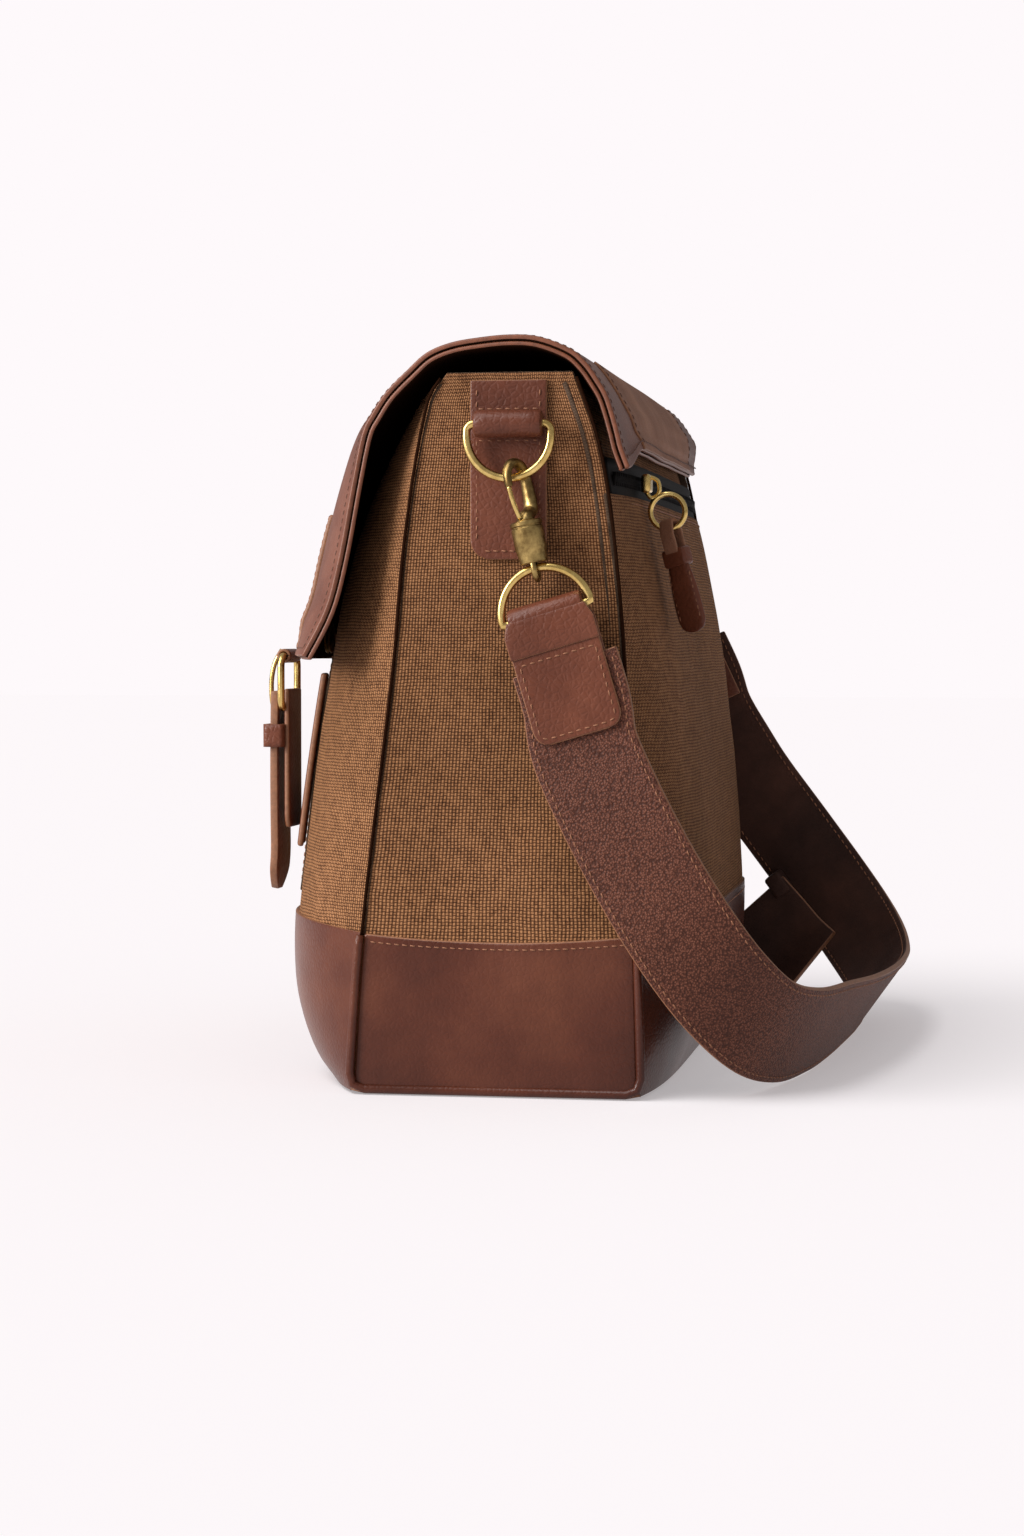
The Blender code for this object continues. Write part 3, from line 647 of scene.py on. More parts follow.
def build_body():
    for node, shape, high, facing, inset, seed in (("canvas_front", front_y, PANEL_TOP, -1, 0.0006, 3.1),
                                                   ("canvas_back", back_y, PANEL_TOP, 1, 0.0042, 5.7),
                                                   ("back_pocket", back_y, POCKET_TOP, 1, 0.0002, 8.3)):
        rows = panel_rows(shape, BAND_TOP - TURNED_IN, high, facing, inset=inset, seed=seed)
        settle(sheet(node + "_cloth", rows, [CANVAS, LINING, LINING], CLOTH), "bag", "canvas", node)
    low_pocket = sheet("front_pocket_cloth",
                       panel_rows(front_y, POCKET_LOW, POCKET_HIGH, -1, half=POCKET_HALF, rows=20, columns=24,
                                  inset=-0.0030, seed=3.1),
                       [CANVAS, LINING, LINING], 0.0022, bevel=0.3)
    settle(low_pocket, "bag", "canvas", "front_pocket")

    # glossy base: front, back and floor in one wrap, sewn along its top edge
    columns = spread(-PANEL_END, PANEL_END, 64, 1.6)[::-1]
    heights = spread(BAND_TOP, 0.0016, 22, 1.5)

    def band(shape, push):
        return [[(x * EDGE_REACH, shape(x, z) + push, z + band_arch(x, z)) for x in columns] for z in heights]

    floor_ends = [(x * EDGE_REACH, front_y(x, 0.0) + 0.002, back_y(x, 0.0) - 0.002) for x in columns]
    floor = [[(x, a + (b - a) * t, 0.0003) for x, a, b in floor_ends]
             for t in (0.03, 0.10, 0.25, 0.5, 0.75, 0.90, 0.97)]
    wrap = band(front_y, -0.0008) + floor + band(back_y, 0.0008)[::-1]
    base = sheet("base_wrap", wrap, [BASE_LEATHER, EDGE_TAN, LINING], 0.0026, bevel=0.45)
    settle(base, "bag", "base_leather", "base_front", "base_back", "base_bottom")
    row_z = BAND_TOP - BAND_SEAM
    xs = spread(-PANEL_END + 0.004, PANEL_END - 0.004, 120)
    seams = [run_on(shape, xs, lambda x: row_z + band_arch(x, row_z), facing, 0.0009)
             for shape, facing in ((front_y, -1), (back_y, 1))]
    seams = [*seams,
             run_on(back_y, spread(-0.150, 0.150, 90), lambda x: POCKET_TOP - 0.0032, 1, 0.0003)]
    settle(stitches("body_stitching", seams), "bag", "leather")
    pocket_seam = []
    edge = POCKET_HALF - 0.003
    seam_low, seam_high = POCKET_LOW + 0.003, POCKET_HIGH - 0.004
    for x in (-edge, edge):
        pocket_seam.append(run_up(front_y, x, spread(seam_low + 0.001, seam_high + 0.001, 40), -1, 0.0030))
    for z in (seam_low, seam_high):
        pocket_seam.append(run_on(front_y, spread(-edge, edge, 50), lambda x: z, -1, 0.0030))
    settle(stitches("front_pocket_stitching", pocket_seam), "bag", "leather")

    flat = [[(x, y, 0.0052) for x in spread(0.150, -0.150, 4)] for y in spread(0.050, -0.050, 4)]
    board = sheet("base_board", flat[::-1], [BOARD, BOARD], 0.0015)
    settle(board, "bag", "board", "stiffener_board")
    divider = rounded_box("laptop_divider_pad", (0.310, 0.0052, 0.232), (0.0, 0.0185, 0.124), 0.0024, [LINING])
    settle(divider, "bag", "lining", "laptop_divider")


def rounded_box(name, size, centre, radius, mats, segments=4, lean=0.0):
    bm = bmesh.new()
    bmesh.ops.create_cube(bm, size=1.0)
    bmesh.ops.scale(bm, vec=Vector(size), verts=bm.verts)
    bmesh.ops.bevel(bm, geom=bm.edges[:], offset=radius, segments=segments, affect="EDGES", profile=0.5)
    bmesh.ops.rotate(bm, verts=bm.verts, cent=(0, 0, 0), matrix=Matrix.Rotation(lean, 3, "X"))
    bmesh.ops.translate(bm, verts=bm.verts, vec=Vector(centre))
    return made_of(name, bm, mats)


def gusset_x(side, y, z):
    """The end panel's outer face: nearly flat, a little hollow towards its top and soft lower down."""
    mid = 0.5 * (along(FRONT_SEAM, z) + along(BACK_SEAM, z))
    half = 0.5 * (along(BACK_SEAM, z) - along(FRONT_SEAM, z))
    across = max(0.0, 1.0 - ((y - mid) / half) ** 4)
    calm = across * clamp((0.215 - z) / 0.04)
    soft = 0.0016 * calm * noise.noise(Vector((y * 26.0, z * 13.0, 4.0 * side)))
    return side * (HALF_LENGTH + soft + 0.0006 * calm)


def end_rows(side, low, high, rows=40):
    out = []
    for z in spread(low, high, rows):
        a, b = along(FRONT_SEAM, z), along(BACK_SEAM, z)
        row = [(gusset_x(side, a + (b - a) * t, z), a + (b - a) * t, z) for t in spread(0.0, 1.0, 30)]
        out.append(row if side > 0 else row[::-1])
    return out


def band_sag(y, z):
    """Drop of the base band across an end, most in the middle of its top edge."""
    return 0.0032 * max(0.0, 1.0 - (y / 0.057) ** 2) * (z / BAND_TOP) ** 2


def build_ends():
    for word, side in (("near", 1), ("far", -1)):
        rows = end_rows(side, BAND_TOP - 0.008, GUSSET_TOP)
        cloth = sheet("gusset_cloth_" + word, rows, [CANVAS, LINING, LINING], 0.0026)
        settle(cloth, "bag", "canvas", "gusset_" + word)
        rows = [[(x + side * 0.0010, y, z - band_sag(y, z)) for x, y, z in row]
                for row in end_rows(side, 0.0016, BAND_TOP, 20)]
        leather = sheet("base_end_leather_" + word, rows, [BASE_LEATHER, EDGE_TAN, LINING], 0.0030, bevel=0.45)
        settle(leather, "bag", "base_leather", "base_end_" + word)

        # welts: a fat one in the leather, and a thin one in the canvas whose near-black colour is painted shade for the
        # seam's groove
        x = side * (HALF_LENGTH + 0.0008)
        fat, thin = [], []
        for seam, push in ((FRONT_SEAM, -1.0), (BACK_SEAM, 1.0)):
            line = [(x + side * 0.0010, along(seam, z) + push * 0.0014, z) for z in spread(BAND_TOP - 0.001, 0.009, 16)]
            line.append((x + side * 0.0006, along(seam, 0.0) + push * -0.0005, 0.0042))
            line.append((x + side * 0.0004, along(seam, 0.0) + push * -0.0050, 0.0024))
            fat.append(line)
            thin.append([(x, along(seam, z) + push * 0.0006, z) for z in spread(0.2985, BAND_TOP - 0.001, 50)])
        bottom = fat[0] + list(reversed(fat[1]))
        welt = sweep("welt_leather_" + word, bottom, 0.0019, [BASE_LEATHER], sides=10, up=(0, 1, 0.2))
        settle(welt, "bag", "piping", "piping_" + word)
        for k, line in enumerate(thin):
            piece = sweep("welt_canvas_%s_%d" % (word, k), line, 0.0007, [PAINTED_SHADE], sides=8, up=(1, 0, 0))
            settle(piece, "bag", "piping")
        normal = (side, 0, 0)
        sewn = side * (PANEL_END - 0.0030)
        runs = [run_up(front_y, sewn, spread(0.296, BAND_TOP + 0.002, 90), -1, 0.0002),
                run_up(back_y, sewn, spread(POCKET_TOP - 0.003, BAND_TOP + 0.002, 90), 1, 0.0004)]
        z = BAND_TOP - BAND_SEAM
        ys = spread(along(FRONT_SEAM, z) + 0.003, along(BACK_SEAM, z) - 0.003, 60)
        runs.append(([(gusset_x(side, y, z) + side * 0.0012, y, z - band_sag(y, z)) for y in ys], [normal] * len(ys)))
        settle(stitches("end_stitching_" + word, runs), "bag", "leather")


# ------------------------------------------------------------------ flap
WHOLE_LINE = [tuple(p) for p in smooth_line(YOKE_LINE + FLAP_LINE, 5)]
HEM_RISE = 0.0100
HEM_TUCK = 0.0100
TIP_INDEX = len(WHOLE_LINE) - 1


def flap_at(x, s, out=0.0):
    """Point and normal of the flap: s runs along its outer line, from the back hem over the top to the front tip."""
    i = min(max(int(s), 0), TIP_INDEX - 1)
    t = s - i
    (y0, z0), (y1, z1) = WHOLE_LINE[i], WHOLE_LINE[i + 1]
    before, after = WHOLE_LINE[max(i - 1, 0)], WHOLE_LINE[min(i + 2, TIP_INDEX)]
    first = Vector((y1 - before[0], z1 - before[1])).normalized()
    second = Vector((after[0] - y0, after[1] - z0)).normalized()
    tangent = first.lerp(second, t)
    tangent.normalize()
    z = z0 + (z1 - z0) * t
    down = clamp((SWELL_TOP - z) / SWELL_DEPTH) if y0 < 0.0 else 0.0
    tip = clamp((TIP_Z + TIP_DEPTH - z) / TIP_DEPTH)
    grown = (1.0 - (1.0 - down) ** 2) * (1.0 - TIP_TUCK * tip * tip * (3.0 - 2.0 * tip))
    y = y0 + (y1 - y0) * t - FLAP_SWELL * grown * swell(x, FLAP_HALF)
    # the back hem rises between the ends and lies closer to the bag towards the far one
    low = clamp((0.292 - z) / 0.030) if y0 > 0.030 else 0.0
    away = clamp((FLAP_HALF - x) / 0.050)
    beyond = clamp((0.12 - x) / 0.29)
    z += low * (HEM_RISE * away * away * (3.0 - 2.0 * away) + 0.5 * HEM_RISE * beyond)
    y -= HEM_TUCK * low * beyond
    normal = Vector((0.0, tangent.y, -tangent.x))
    calm = min(1.0, (FLAP_HALF - abs(x)) / 0.04)
    soft = 0.0009 * calm * noise.noise(Vector((x * 12.0, s * 0.16, 2.0)))
    return Vector((x, y, z)) + normal * (out + soft), normal


def flap_rows(xs, ss, out=0.0):
    return [[flap_at(x, s, out)[0] for x in xs] for s in ss]


def build_flap():
    xs = spread(FLAP_HALF, -FLAP_HALF, 72, 1.5)
    ss = list(range(TIP_INDEX + 1))
    # the outer ply's back, the inner ply and the core between the plies take near-black painted shade, for the flap's
    # shaded underside and the dark gap between its plies
    outer = sheet("flap_outer", flap_rows(xs, ss), [FLAP_LEATHER, EDGE_ORANGE, PAINTED_SHADE], 0.0023, bevel=0.45)
    inner_xs = spread(FLAP_HALF - 0.0002, -FLAP_HALF + 0.0002, 60, 1.5)
    inner = sheet("flap_inner", flap_rows(inner_xs, ss, -0.0027), [PAINTED_SHADE, EDGE_ORANGE, PAINTED_SHADE], 0.0022, bevel=0.45)
    core_xs = spread(FLAP_HALF - 0.0012, -FLAP_HALF + 0.0012, 30, 1.5)
    core = sheet("flap_core", flap_rows(core_xs, ss[1:-1], -0.0018), [PAINTED_SHADE, PAINTED_SHADE], 0.0014, bevel=0)
    patch_xs = spread(FLAP_HALF - 0.046, -FLAP_HALF + 0.046, 60, 1.2)
    patch = sheet("flap_nubuck_panel", flap_rows(patch_xs, ss[:34], 0.0009), [SUEDE, EDGE_TAN], 0.0010, bevel=0.3)
    sewn, panel_sewn, lifted = FLAP_HALF - 0.0040, FLAP_HALF - 0.049, 0.0011
    runs = [unzip([flap_at(x, s, 0.0001) for s in ss[2:-1]]) for x in (sewn, -sewn)]
    for s, lift in ((3.0, lifted), (TIP_INDEX - 1.1, 0.0001)):
        runs.append(unzip([flap_at(x, s, lift) for x in spread(sewn, -sewn, 120)]))
    runs += [unzip([flap_at(x, s, lifted) for s in ss[2:33]]) for x in (panel_sewn, -panel_sewn)]
    thread = stitches("flap_stitching", runs, THREAD_DARK)
    for obj, nodes in ((outer, ("flap", "flap_yoke")), (inner, ()), (core, ()), (patch, ()), (thread, ())):
        bpy.context.view_layer.update()
        bake(obj)
        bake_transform(obj)
        if nodes:
            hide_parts(*nodes)


# ------------------------------------------------------------------ zip on the back
def build_zip():
    rows = []
    for z in spread(0.247, 0.266, 6):
        rows.append([(x, back_y(x, min(z, 0.262)) - 0.0012, z) for x in spread(0.160, -0.160, 50, 1.3)])
    tape = sheet("zip_tape_cloth", rows, [ZIP_TAPE, ZIP_TAPE], 0.0012, bevel=0)
    settle(tape, "bag", "zip_black", "zip_tape")
    bm = bmesh.new()
    count = 200
    for k in range(count):
        x = 0.154 - 0.308 * k / (count - 1)
        z = ZIP_Z + (0.0008 if k % 2 else -0.0008)
        made = bmesh.ops.create_cube(bm, size=1.0)["verts"]
        bmesh.ops.scale(bm, vec=(0.0009, 0.0016, 0.0042), verts=made)
        bmesh.ops.translate(bm, vec=(x, back_y(x, ZIP_Z) - 0.0006, z), verts=made)
    settle(made_of("zip_teeth", bm, [ZIP_TAPE]), "bag", "zip_black")

    low, high, mid = box_of("zip_slider")
    size = (high.x - low.x, high.y - low.y - 0.001, high.z - low.z)
    slider = rounded_box("zip_slider_body", size, mid, 0.0014, [BRASS])
    settle(slider, "zip_slider", "brass", "zip_slider")
    low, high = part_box("zip_ring")
    centre, radius = (low + high) / 2, (high.z - low.z) / 2 - 0.0011
    turns = [2 * math.pi * i / 48 for i in range(48)]
    ring = [centre + Vector((0.0, radius * math.sin(a), radius * math.cos(a))) for a in turns]
    hoop = sweep("zip_ring_wire", ring, 0.0012, [BRASS], closed=True, sides=14, up=(1, 0, 0))
    settle(hoop, "zip_pull", "brass", "zip_ring")
    bridge = [(mid.x, mid.y + y, mid.z + z) for y, z in
              ((0.001, 0.003), (0.0048, 0.001), (0.0052, -0.0040), (0.002, -0.0062), (-0.0005, -0.0035))]
    arch = sweep("zip_slider_bridge", smooth_line(bridge, 5), 0.0009, [BRASS], sides=10, up=(1, 0, 0))
    settle(arch, "zip_slider", "brass")

    # leather pull: a folded tan loop through the ring, a keeper, then two padded tongues one behind the other
    lean, twist = math.radians(14.0), math.radians(62.0)
    lean_turn = Matrix.Rotation(lean, 3, "X")
    down = lean_turn @ Vector((0, 0, -1))
    wide = lean_turn @ Vector((math.cos(twist), math.sin(twist), 0.0))
    face = lean_turn @ Vector((math.sin(twist), -math.cos(twist), 0.0))
    top = Vector((centre.x, centre.y + 0.0012, centre.z - radius))
    pieces = []
    loop_rows = []
    for d, o in ((0.016, -0.0010), (0.009, -0.0030), (0.002, -0.0034), (-0.0030, -0.0018), (-0.0040, 0.0004),
                 (-0.0030, 0.0022), (0.002, 0.0036), (0.009, 0.0032), (0.016, 0.0014)):
        c = top + down * d + face * o
        loop_rows.append([c + wide * 0.0034 * t for t in spread(-1, 1, 4)])
    pieces.append(sheet("pull_loop", loop_rows, [SUEDE, EDGE_TAN], 0.0013, offset=0.0))

    def tongue(name, start, end, half, thick, shift, aside):
        rings = []
        for d in spread(start, end, 26):
            t = (d - start) / (end - start)
            w = half * (0.62 + 0.38 * math.sin(min(t * 1.5, 1.0) * math.pi / 2))
            if t > 0.82:
                w *= 0.25 + 0.75 * math.sqrt(max(0.0, 1.0 - ((t - 0.82) / 0.18) ** 2))
            h = thick * (0.55 + 0.45 * math.sin(math.pi * min(1.0, t * 1.1)))
            ring_pts = []
            for k in range(24):
                a = 2 * math.pi * k / 24
                ca, sa = math.cos(a), math.sin(a)
                ring_pts.append(top + down * d + wide * (aside + w * math.copysign(abs(ca) ** 0.6, ca))
                                + face * (shift + h * math.copysign(abs(sa) ** 0.9, sa)))
            rings.append(ring_pts)
        body = surface(name, rings, [TRIM_LEATHER], closed=True)
        close_ends(body)
        return body

    pieces.append(tongue("pull_tongue_front", 0.012, 0.0455, 0.0068, 0.0021, 0.0012, 0.0006))
    pieces.append(tongue("pull_tongue_back", 0.011, 0.0445, 0.0064, 0.0014, -0.0016, -0.0020))
    band = rounded_box("pull_keeper", (0.0070, 0.0118, 0.0080), (0, 0, 0), 0.0015, [TRIM_LEATHER])
    basis = Matrix((face, wide, -down)).transposed()
    band.data.transform(Matrix.Translation(top + down * 0.0125) @ basis.to_4x4())
    pieces.append(band)
    pull = join("zip_pull_leather", pieces)
    settle(pull, "zip_pull", "leather", "zip_pull")
    seam = []
    for sign in (-1, 1):
        pts = [top + down * d + wide * (0.0006 + sign * 0.0052) + face * 0.0026 for d in spread(0.019, 0.040, 10)]
        seam.append((pts, [face] * len(pts)))
    settle(stitches("zip_pull_stitching", seam, THREAD, 0.0028, 0.0019, 0.0003), "zip_pull", "leather")


def close_ends(obj):
    bm = bmesh.new()
    bm.from_mesh(obj.data)
    bmesh.ops.holes_fill(bm, edges=[e for e in bm.edges if e.is_boundary])
    bmesh.ops.recalc_face_normals(bm, faces=bm.faces)
    bm.to_mesh(obj.data)
    bm.free()


# ------------------------------------------------------------------ closures on the front
def tail_bow(down):
    """The hanging tail stands a little away from the bag towards its tip."""
    return 0.0004 * math.sin(down * 40.0) + 0.0022 * (max(0.0, down - 0.066) / 0.021) ** 2


def build_closure(word, side):
    """One buckled closure. Its pieces ride on the flap, on the swinging tail and its keeper, and on the bag."""
    x0 = side * CLOSURE_X
    build_closure_strap(word, x0)
    build_buckle(word, x0)
    build_closure_tail(word, x0)
    build_keeper(word)
    rows = []
    for z in spread(0.100, 0.176, 20):
        rows.append([(x, front_y(x, z) - 0.0042, z) for x in spread(x0 - CLOSURE_HALF, x0 + CLOSURE_HALF, 8)])
    tab = sheet("closure_tab_leather_" + word, rows, TRIM, 0.0026, bevel=0.4)
    settle(tab, "bag", "leather", "closure_tab_" + word)
    for node, body in (("snap_socket_", "bag"), ("snap_cap_", "flap")):
        low, high, mid = box_of(node + word)
        r, h = (high.x - low.x) / 2, (high.y - low.y)
        profile = [(0.0002, 0.0), (r * 0.75, 0.0), (r * 0.95, h * 0.25), (r, h * 0.5), (r * 0.95, h * 0.75),
                   (r * 0.75, h), (0.0002, h)]
        snap = turned(node + "metal_" + word, profile, (mid.x, low.y, mid.z), (0, 1, 0), [ANTIQUE], 32)
        settle(snap, body, "brass", node + word)


def build_closure_strap(word, x0):
    """The strap sewn to the flap's front, down to its tip."""
    xs = spread(x0 + CLOSURE_HALF, x0 - CLOSURE_HALF, 10)
    ss = [TIP_INDEX - 13.0 + 12.6 * k / 24 for k in range(25)]
    strap = sheet("closure_strap_leather_" + word, flap_rows(xs, ss, 0.0034), TRIM, 0.0028, bevel=0.4)
    settle(strap, "flap", "leather", "closure_strap_" + word)
    inner = CLOSURE_HALF - SEWN_IN
    runs = [unzip([flap_at(x, s, 0.0035) for s in ss]) for x in (x0 + inner, x0 - inner)]
    settle(stitches("closure_strap_stitching_" + word, runs), "flap", "leather")


def build_buckle(word, x0):
    """Frame, the leather rolled over its upper bar, and the prong."""
    low, high, mid = box_of("buckle_frame_" + word)
    wide, tall = (high.x - low.x) / 2 - BUCKLE_WIRE, (high.z - low.z) / 2 - BUCKLE_WIRE
    loop = [mid + Vector((a, 0, b)) for a, b in round_corners(wide, tall, 0.005, 8)]
    frame_wire = sweep("buckle_wire_" + word, loop, BUCKLE_WIRE, [BRASS], closed=True, sides=14, up=(0, 1, 0))
    settle(frame_wire, "closure_" + word, "brass", "buckle_frame_" + word)
    chape, roll_r = [], 0.0031
    for a in (math.radians(18.0 * k) for k in range(20)):
        y, z = mid.y + roll_r * math.cos(a), mid.z + tall + roll_r * math.sin(a)
        chape.append([Vector((x, y, z)) for x in spread(x0 + 0.0105, x0 - 0.0105, 8)])
    chape.append(list(chape[0]))
    roll = sheet("closure_roll_" + word, chape, TRIM, 0.0012, bevel=0)
    settle(roll, "closure_" + word, "leather")
    line = smooth_line([(x0, mid.y - y, z) for y, z in
                        ((0.0032, 0.1860), (0.0065, 0.1800), (0.0080, 0.1720), (0.0078, 0.1610))], 6)
    radii = [0.0011] * (len(line) - 3) + [0.0010, 0.0008, 0.0005]
    prong = sweep("prong_wire_" + word, line, radii, [BRASS], sides=12, up=(1, 0, 0))
    settle(prong, "prong_" + word, "brass", "buckle_prong_" + word)


def build_closure_tail(word, x0):
    """The hanging tail with its pointed tip, a shorter ply behind it, and the sewing along its edges."""
    low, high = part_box("closure_tail_" + word)
    y = (low.y + high.y) / 2
    outline = [(z, CLOSURE_HALF) for z in spread(high.z, low.z + TAIL_TIP, 24)]
    outline += [(low.z + TAIL_TIP * (1 - t), CLOSURE_HALF * (1.0 - 0.72 * t ** 1.6))
                for t in (k / 6 for k in range(1, 7))]
    rows = [[(x, y - 0.0018 - tail_bow(high.z - z), z) for x in spread(x0 + w, x0 - w, 8)] for z, w in outline]
    rows = [list(reversed(row)) for row in rows][::-1]
    tail = sheet("closure_tail_leather_" + word, rows, TRIM, 0.0036, bevel=0.3)
    settle(tail, "closure_" + word, "leather", "closure_tail_" + word)
    rows = []
    for z in spread(0.1690, 0.1080, 20):
        w = CLOSURE_HALF * (1.0 if z > 0.112 else 0.80 + 0.20 * (z - 0.108) / 0.004)
        rows.append([(x, y + 0.0042, z) for x in spread(x0 - w, x0 + w, 8)])
    ply = sheet("closure_under_ply_" + word, rows, TRIM, 0.0024, offset=1.0, bevel=0.4)
    settle(ply, "closure_" + word, "leather")
    inner, zs = CLOSURE_HALF - SEWN_IN, spread(high.z - 0.001, low.z + 0.011, 30)
    runs = [([(x, y - 0.0019 - tail_bow(high.z - z), z) for z in zs], [(0, -1, 0)] * len(zs))
            for x in (x0 + inner, x0 - inner)]
    settle(stitches("closure_tail_stitching_" + word, runs), "closure_" + word, "leather")


def build_keeper(word):
    low, high, mid = box_of("keeper_" + word)
    loop = round_corners((high.x - low.x) / 2, (high.y - low.y) / 2, 0.0022, 5)
    band = [[(mid.x + a, mid.y + b, z) for a, b in loop] for z in spread(high.z, low.z, 4)]
    obj = surface("keeper_leather_" + word, band, TRIM, closed=True)
    mod = obj.modifiers.new("thickness", "SOLIDIFY")
    mod.thickness, mod.offset, mod.material_offset_rim = 0.0018, 1.0, 1
    settle(obj, "keeper_" + word, "leather", "keeper_" + word)


# ------------------------------------------------------------------ rings, hooks and strap ends
HALF_TURN = [math.pi * k / 40 for k in range(41)]


def hang_axes(word, side):
    """Where a snap hook hangs in its D-ring, and its directions: down, out from the bag, and across."""
    hang = math.radians(HANG[word][0])
    return (Vector((side * HOOK_X, RING_Y, RING_ARC_Z)), Vector((0.0, math.sin(hang), -math.cos(hang))),
            Vector((side, 0.0, 0.0)), Vector((0.0, math.cos(hang), math.sin(hang))))


def build_ring_patch(word, side):
    """The leather sewn to the bag's end, with its roll round the D-ring's bar."""
    low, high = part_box("ring_patch_" + word)
    x = side * (HALF_LENGTH + 0.0006)
    mid_y, half = (low.y + high.y) / 2, (high.y - low.y) / 2
    rows, corner = [], 0.008
    for z in spread(low.z, high.z, 40):
        w = half
        from_end = z - low.z
        if from_end < corner:
            w = half - corner + math.sqrt(max(0.0, corner ** 2 - (corner - from_end) ** 2))
            w = max(w, half * 0.55)
        puff = 0.0006 * math.sin(math.pi * (z - low.z) / (high.z - low.z))
        row = [(x + side * (0.0018 + puff), mid_y + w * t, z) for t in spread(-1, 1, 12)]
        rows.append(row if side > 0 else row[::-1])
    patch = sheet("ring_patch_leather_" + word, rows, TRIM, 0.0022, bevel=0.45)
    settle(patch, "bag", "leather", "ring_patch_" + word)
    roll = turned("ring_roll_" + word,
                  [(0.0004, 0.0), (0.0040, 0.0), (0.0052, 0.0006), (0.0057, 0.0018), (0.0058, 0.0060),
                   (0.0057, 0.0225), (0.0057, 0.0267), (0.0052, 0.0279), (0.0040, 0.0285), (0.0004, 0.0285)],
                  (side * RING_X, RING_Y - 0.01425, RING_BAR_Z), (0, 1, 0), [TRIM_LEATHER])
    settle(roll, "bag", "leather", "ring_loop_" + word)
    runs = []
    normal = (side, 0, 0)
    inner = half - 0.0028
    face = x + side * 0.0022
    top_z, low_z = high.z - 0.003, low.z + 0.003
    for y in (-inner, inner):
        for a, b in ((top_z, RING_BAR_Z + 0.006), (RING_BAR_Z - 0.006, low_z + 0.005)):
            runs.append(([(face, mid_y + y, z) for z in spread(a, b, 16)], [normal] * 17))
    for z, w in ((RING_BAR_Z + 0.0065, inner), (RING_BAR_Z - 0.0065, inner), (low_z + 0.0005, inner - 0.003)):
        runs.append(([(face, mid_y + y, z) for y in spread(-w, w, 12)], [normal] * 13))
    settle(stitches("ring_patch_stitching_" + word, runs), "bag", "leather")


def build_d_ring(word, side):
    """A half-round wire with a straight bar at its top and tight corners."""
    x, edge = side * RING_X, 0.0032
    corner = [math.radians(90.0 * k / 8) for k in range(1, 8)]
    loop = [(x, RING_Y + RING_R * math.cos(a), RING_ARC_Z - RING_R * math.sin(a)) for a in HALF_TURN]
    loop += [(x, RING_Y - RING_R + edge * (1 - math.cos(a)), RING_BAR_Z - edge + edge * math.sin(a)) for a in corner]
    loop += [(x, RING_Y + (RING_R - edge) * (2 * t - 1), RING_BAR_Z) for t in (0.0, 0.25, 0.5, 0.75, 1.0)]
    loop += [(x, RING_Y + RING_R - edge * (1 - math.sin(a)), RING_BAR_Z - edge * (1 - math.cos(a))) for a in corner]
    ring = sweep("d_ring_wire_" + word, loop, WIRE + 0.0001, [BRASS], closed=True, sides=18, up=(1, 0, 0))
    settle(ring, "d_ring_" + word, "brass", "d_ring_" + word)


def build_hook(word, side):
    """Snap hook: a bent body twisted about its hang, a wire gate and a turned barrel."""
    top, down, out, wide = hang_axes(word, side)
    twist = math.radians(-28.0 * side)
    out_hook = out * math.cos(twist) + wide * math.sin(twist) * side
    side_hook = wide * math.cos(twist) - out * math.sin(twist) * side

    def at(across, distance):
        return top + out_hook * across + down * distance

    hook = [at(0.0060, 0.0212), at(0.0061, 0.0196)]
    hook += [at(0.0060 * math.cos(a), 0.0181 - 0.0064 * math.sin(a)) for a in (math.pi * k / 16 for k in range(1, 16))]
    hook += [at(*place) for place in ((-0.0060, 0.0200), (-0.0061, 0.0240), (-0.0059, 0.0290), (-0.0050, 0.0318),
                                      (-0.0026, 0.0334), (-0.0004, 0.0345), (0.0, 0.0360))]
    line = smooth_line(hook, 3)
    radii = []
    for k in range(len(line)):
        t = k / (len(line) - 1)
        radii.append(0.0013 + 0.0007 * min(1.0, t * 3.0) + 0.0012 * max(0.0, (t - 0.72) / 0.28))
    body = sweep("snap_hook_body_" + word, line, radii, [ANTIQUE], sides=18, up=tuple(side_hook), flat=1.30)
    settle(body, "hook_" + word, "brass", "snap_hook_" + word)
    line = smooth_line([at(*place) for place in
                        ((0.0064, 0.0213), (0.0060, 0.0260), (0.0048, 0.0310), (0.0032, 0.0350))], 5)
    gate = sweep("hook_gate_wire_" + word, line, 0.0010, [BRASS], sides=12, up=tuple(side_hook))
    settle(gate, "gate_" + word, "brass", "hook_gate_" + word)
    barrel = turned("hook_barrel_body_" + word,
                    [(0.0005, 0.0), (0.0062, 0.0), (0.0067, 0.0005), (0.0067, 0.0018), (0.0063, 0.0022),
                     (0.0063, 0.0026), (0.0066, 0.0030), (0.0066, 0.0118), (0.0063, 0.0124), (0.0060, 0.0148),
                     (0.0058, 0.0172), (0.0054, 0.0176), (0.0005, 0.0176)],
                    top + down * 0.0360, down, [ANTIQUE])
    settle(barrel, "hook_" + word, "brass", "hook_barrel_" + word)


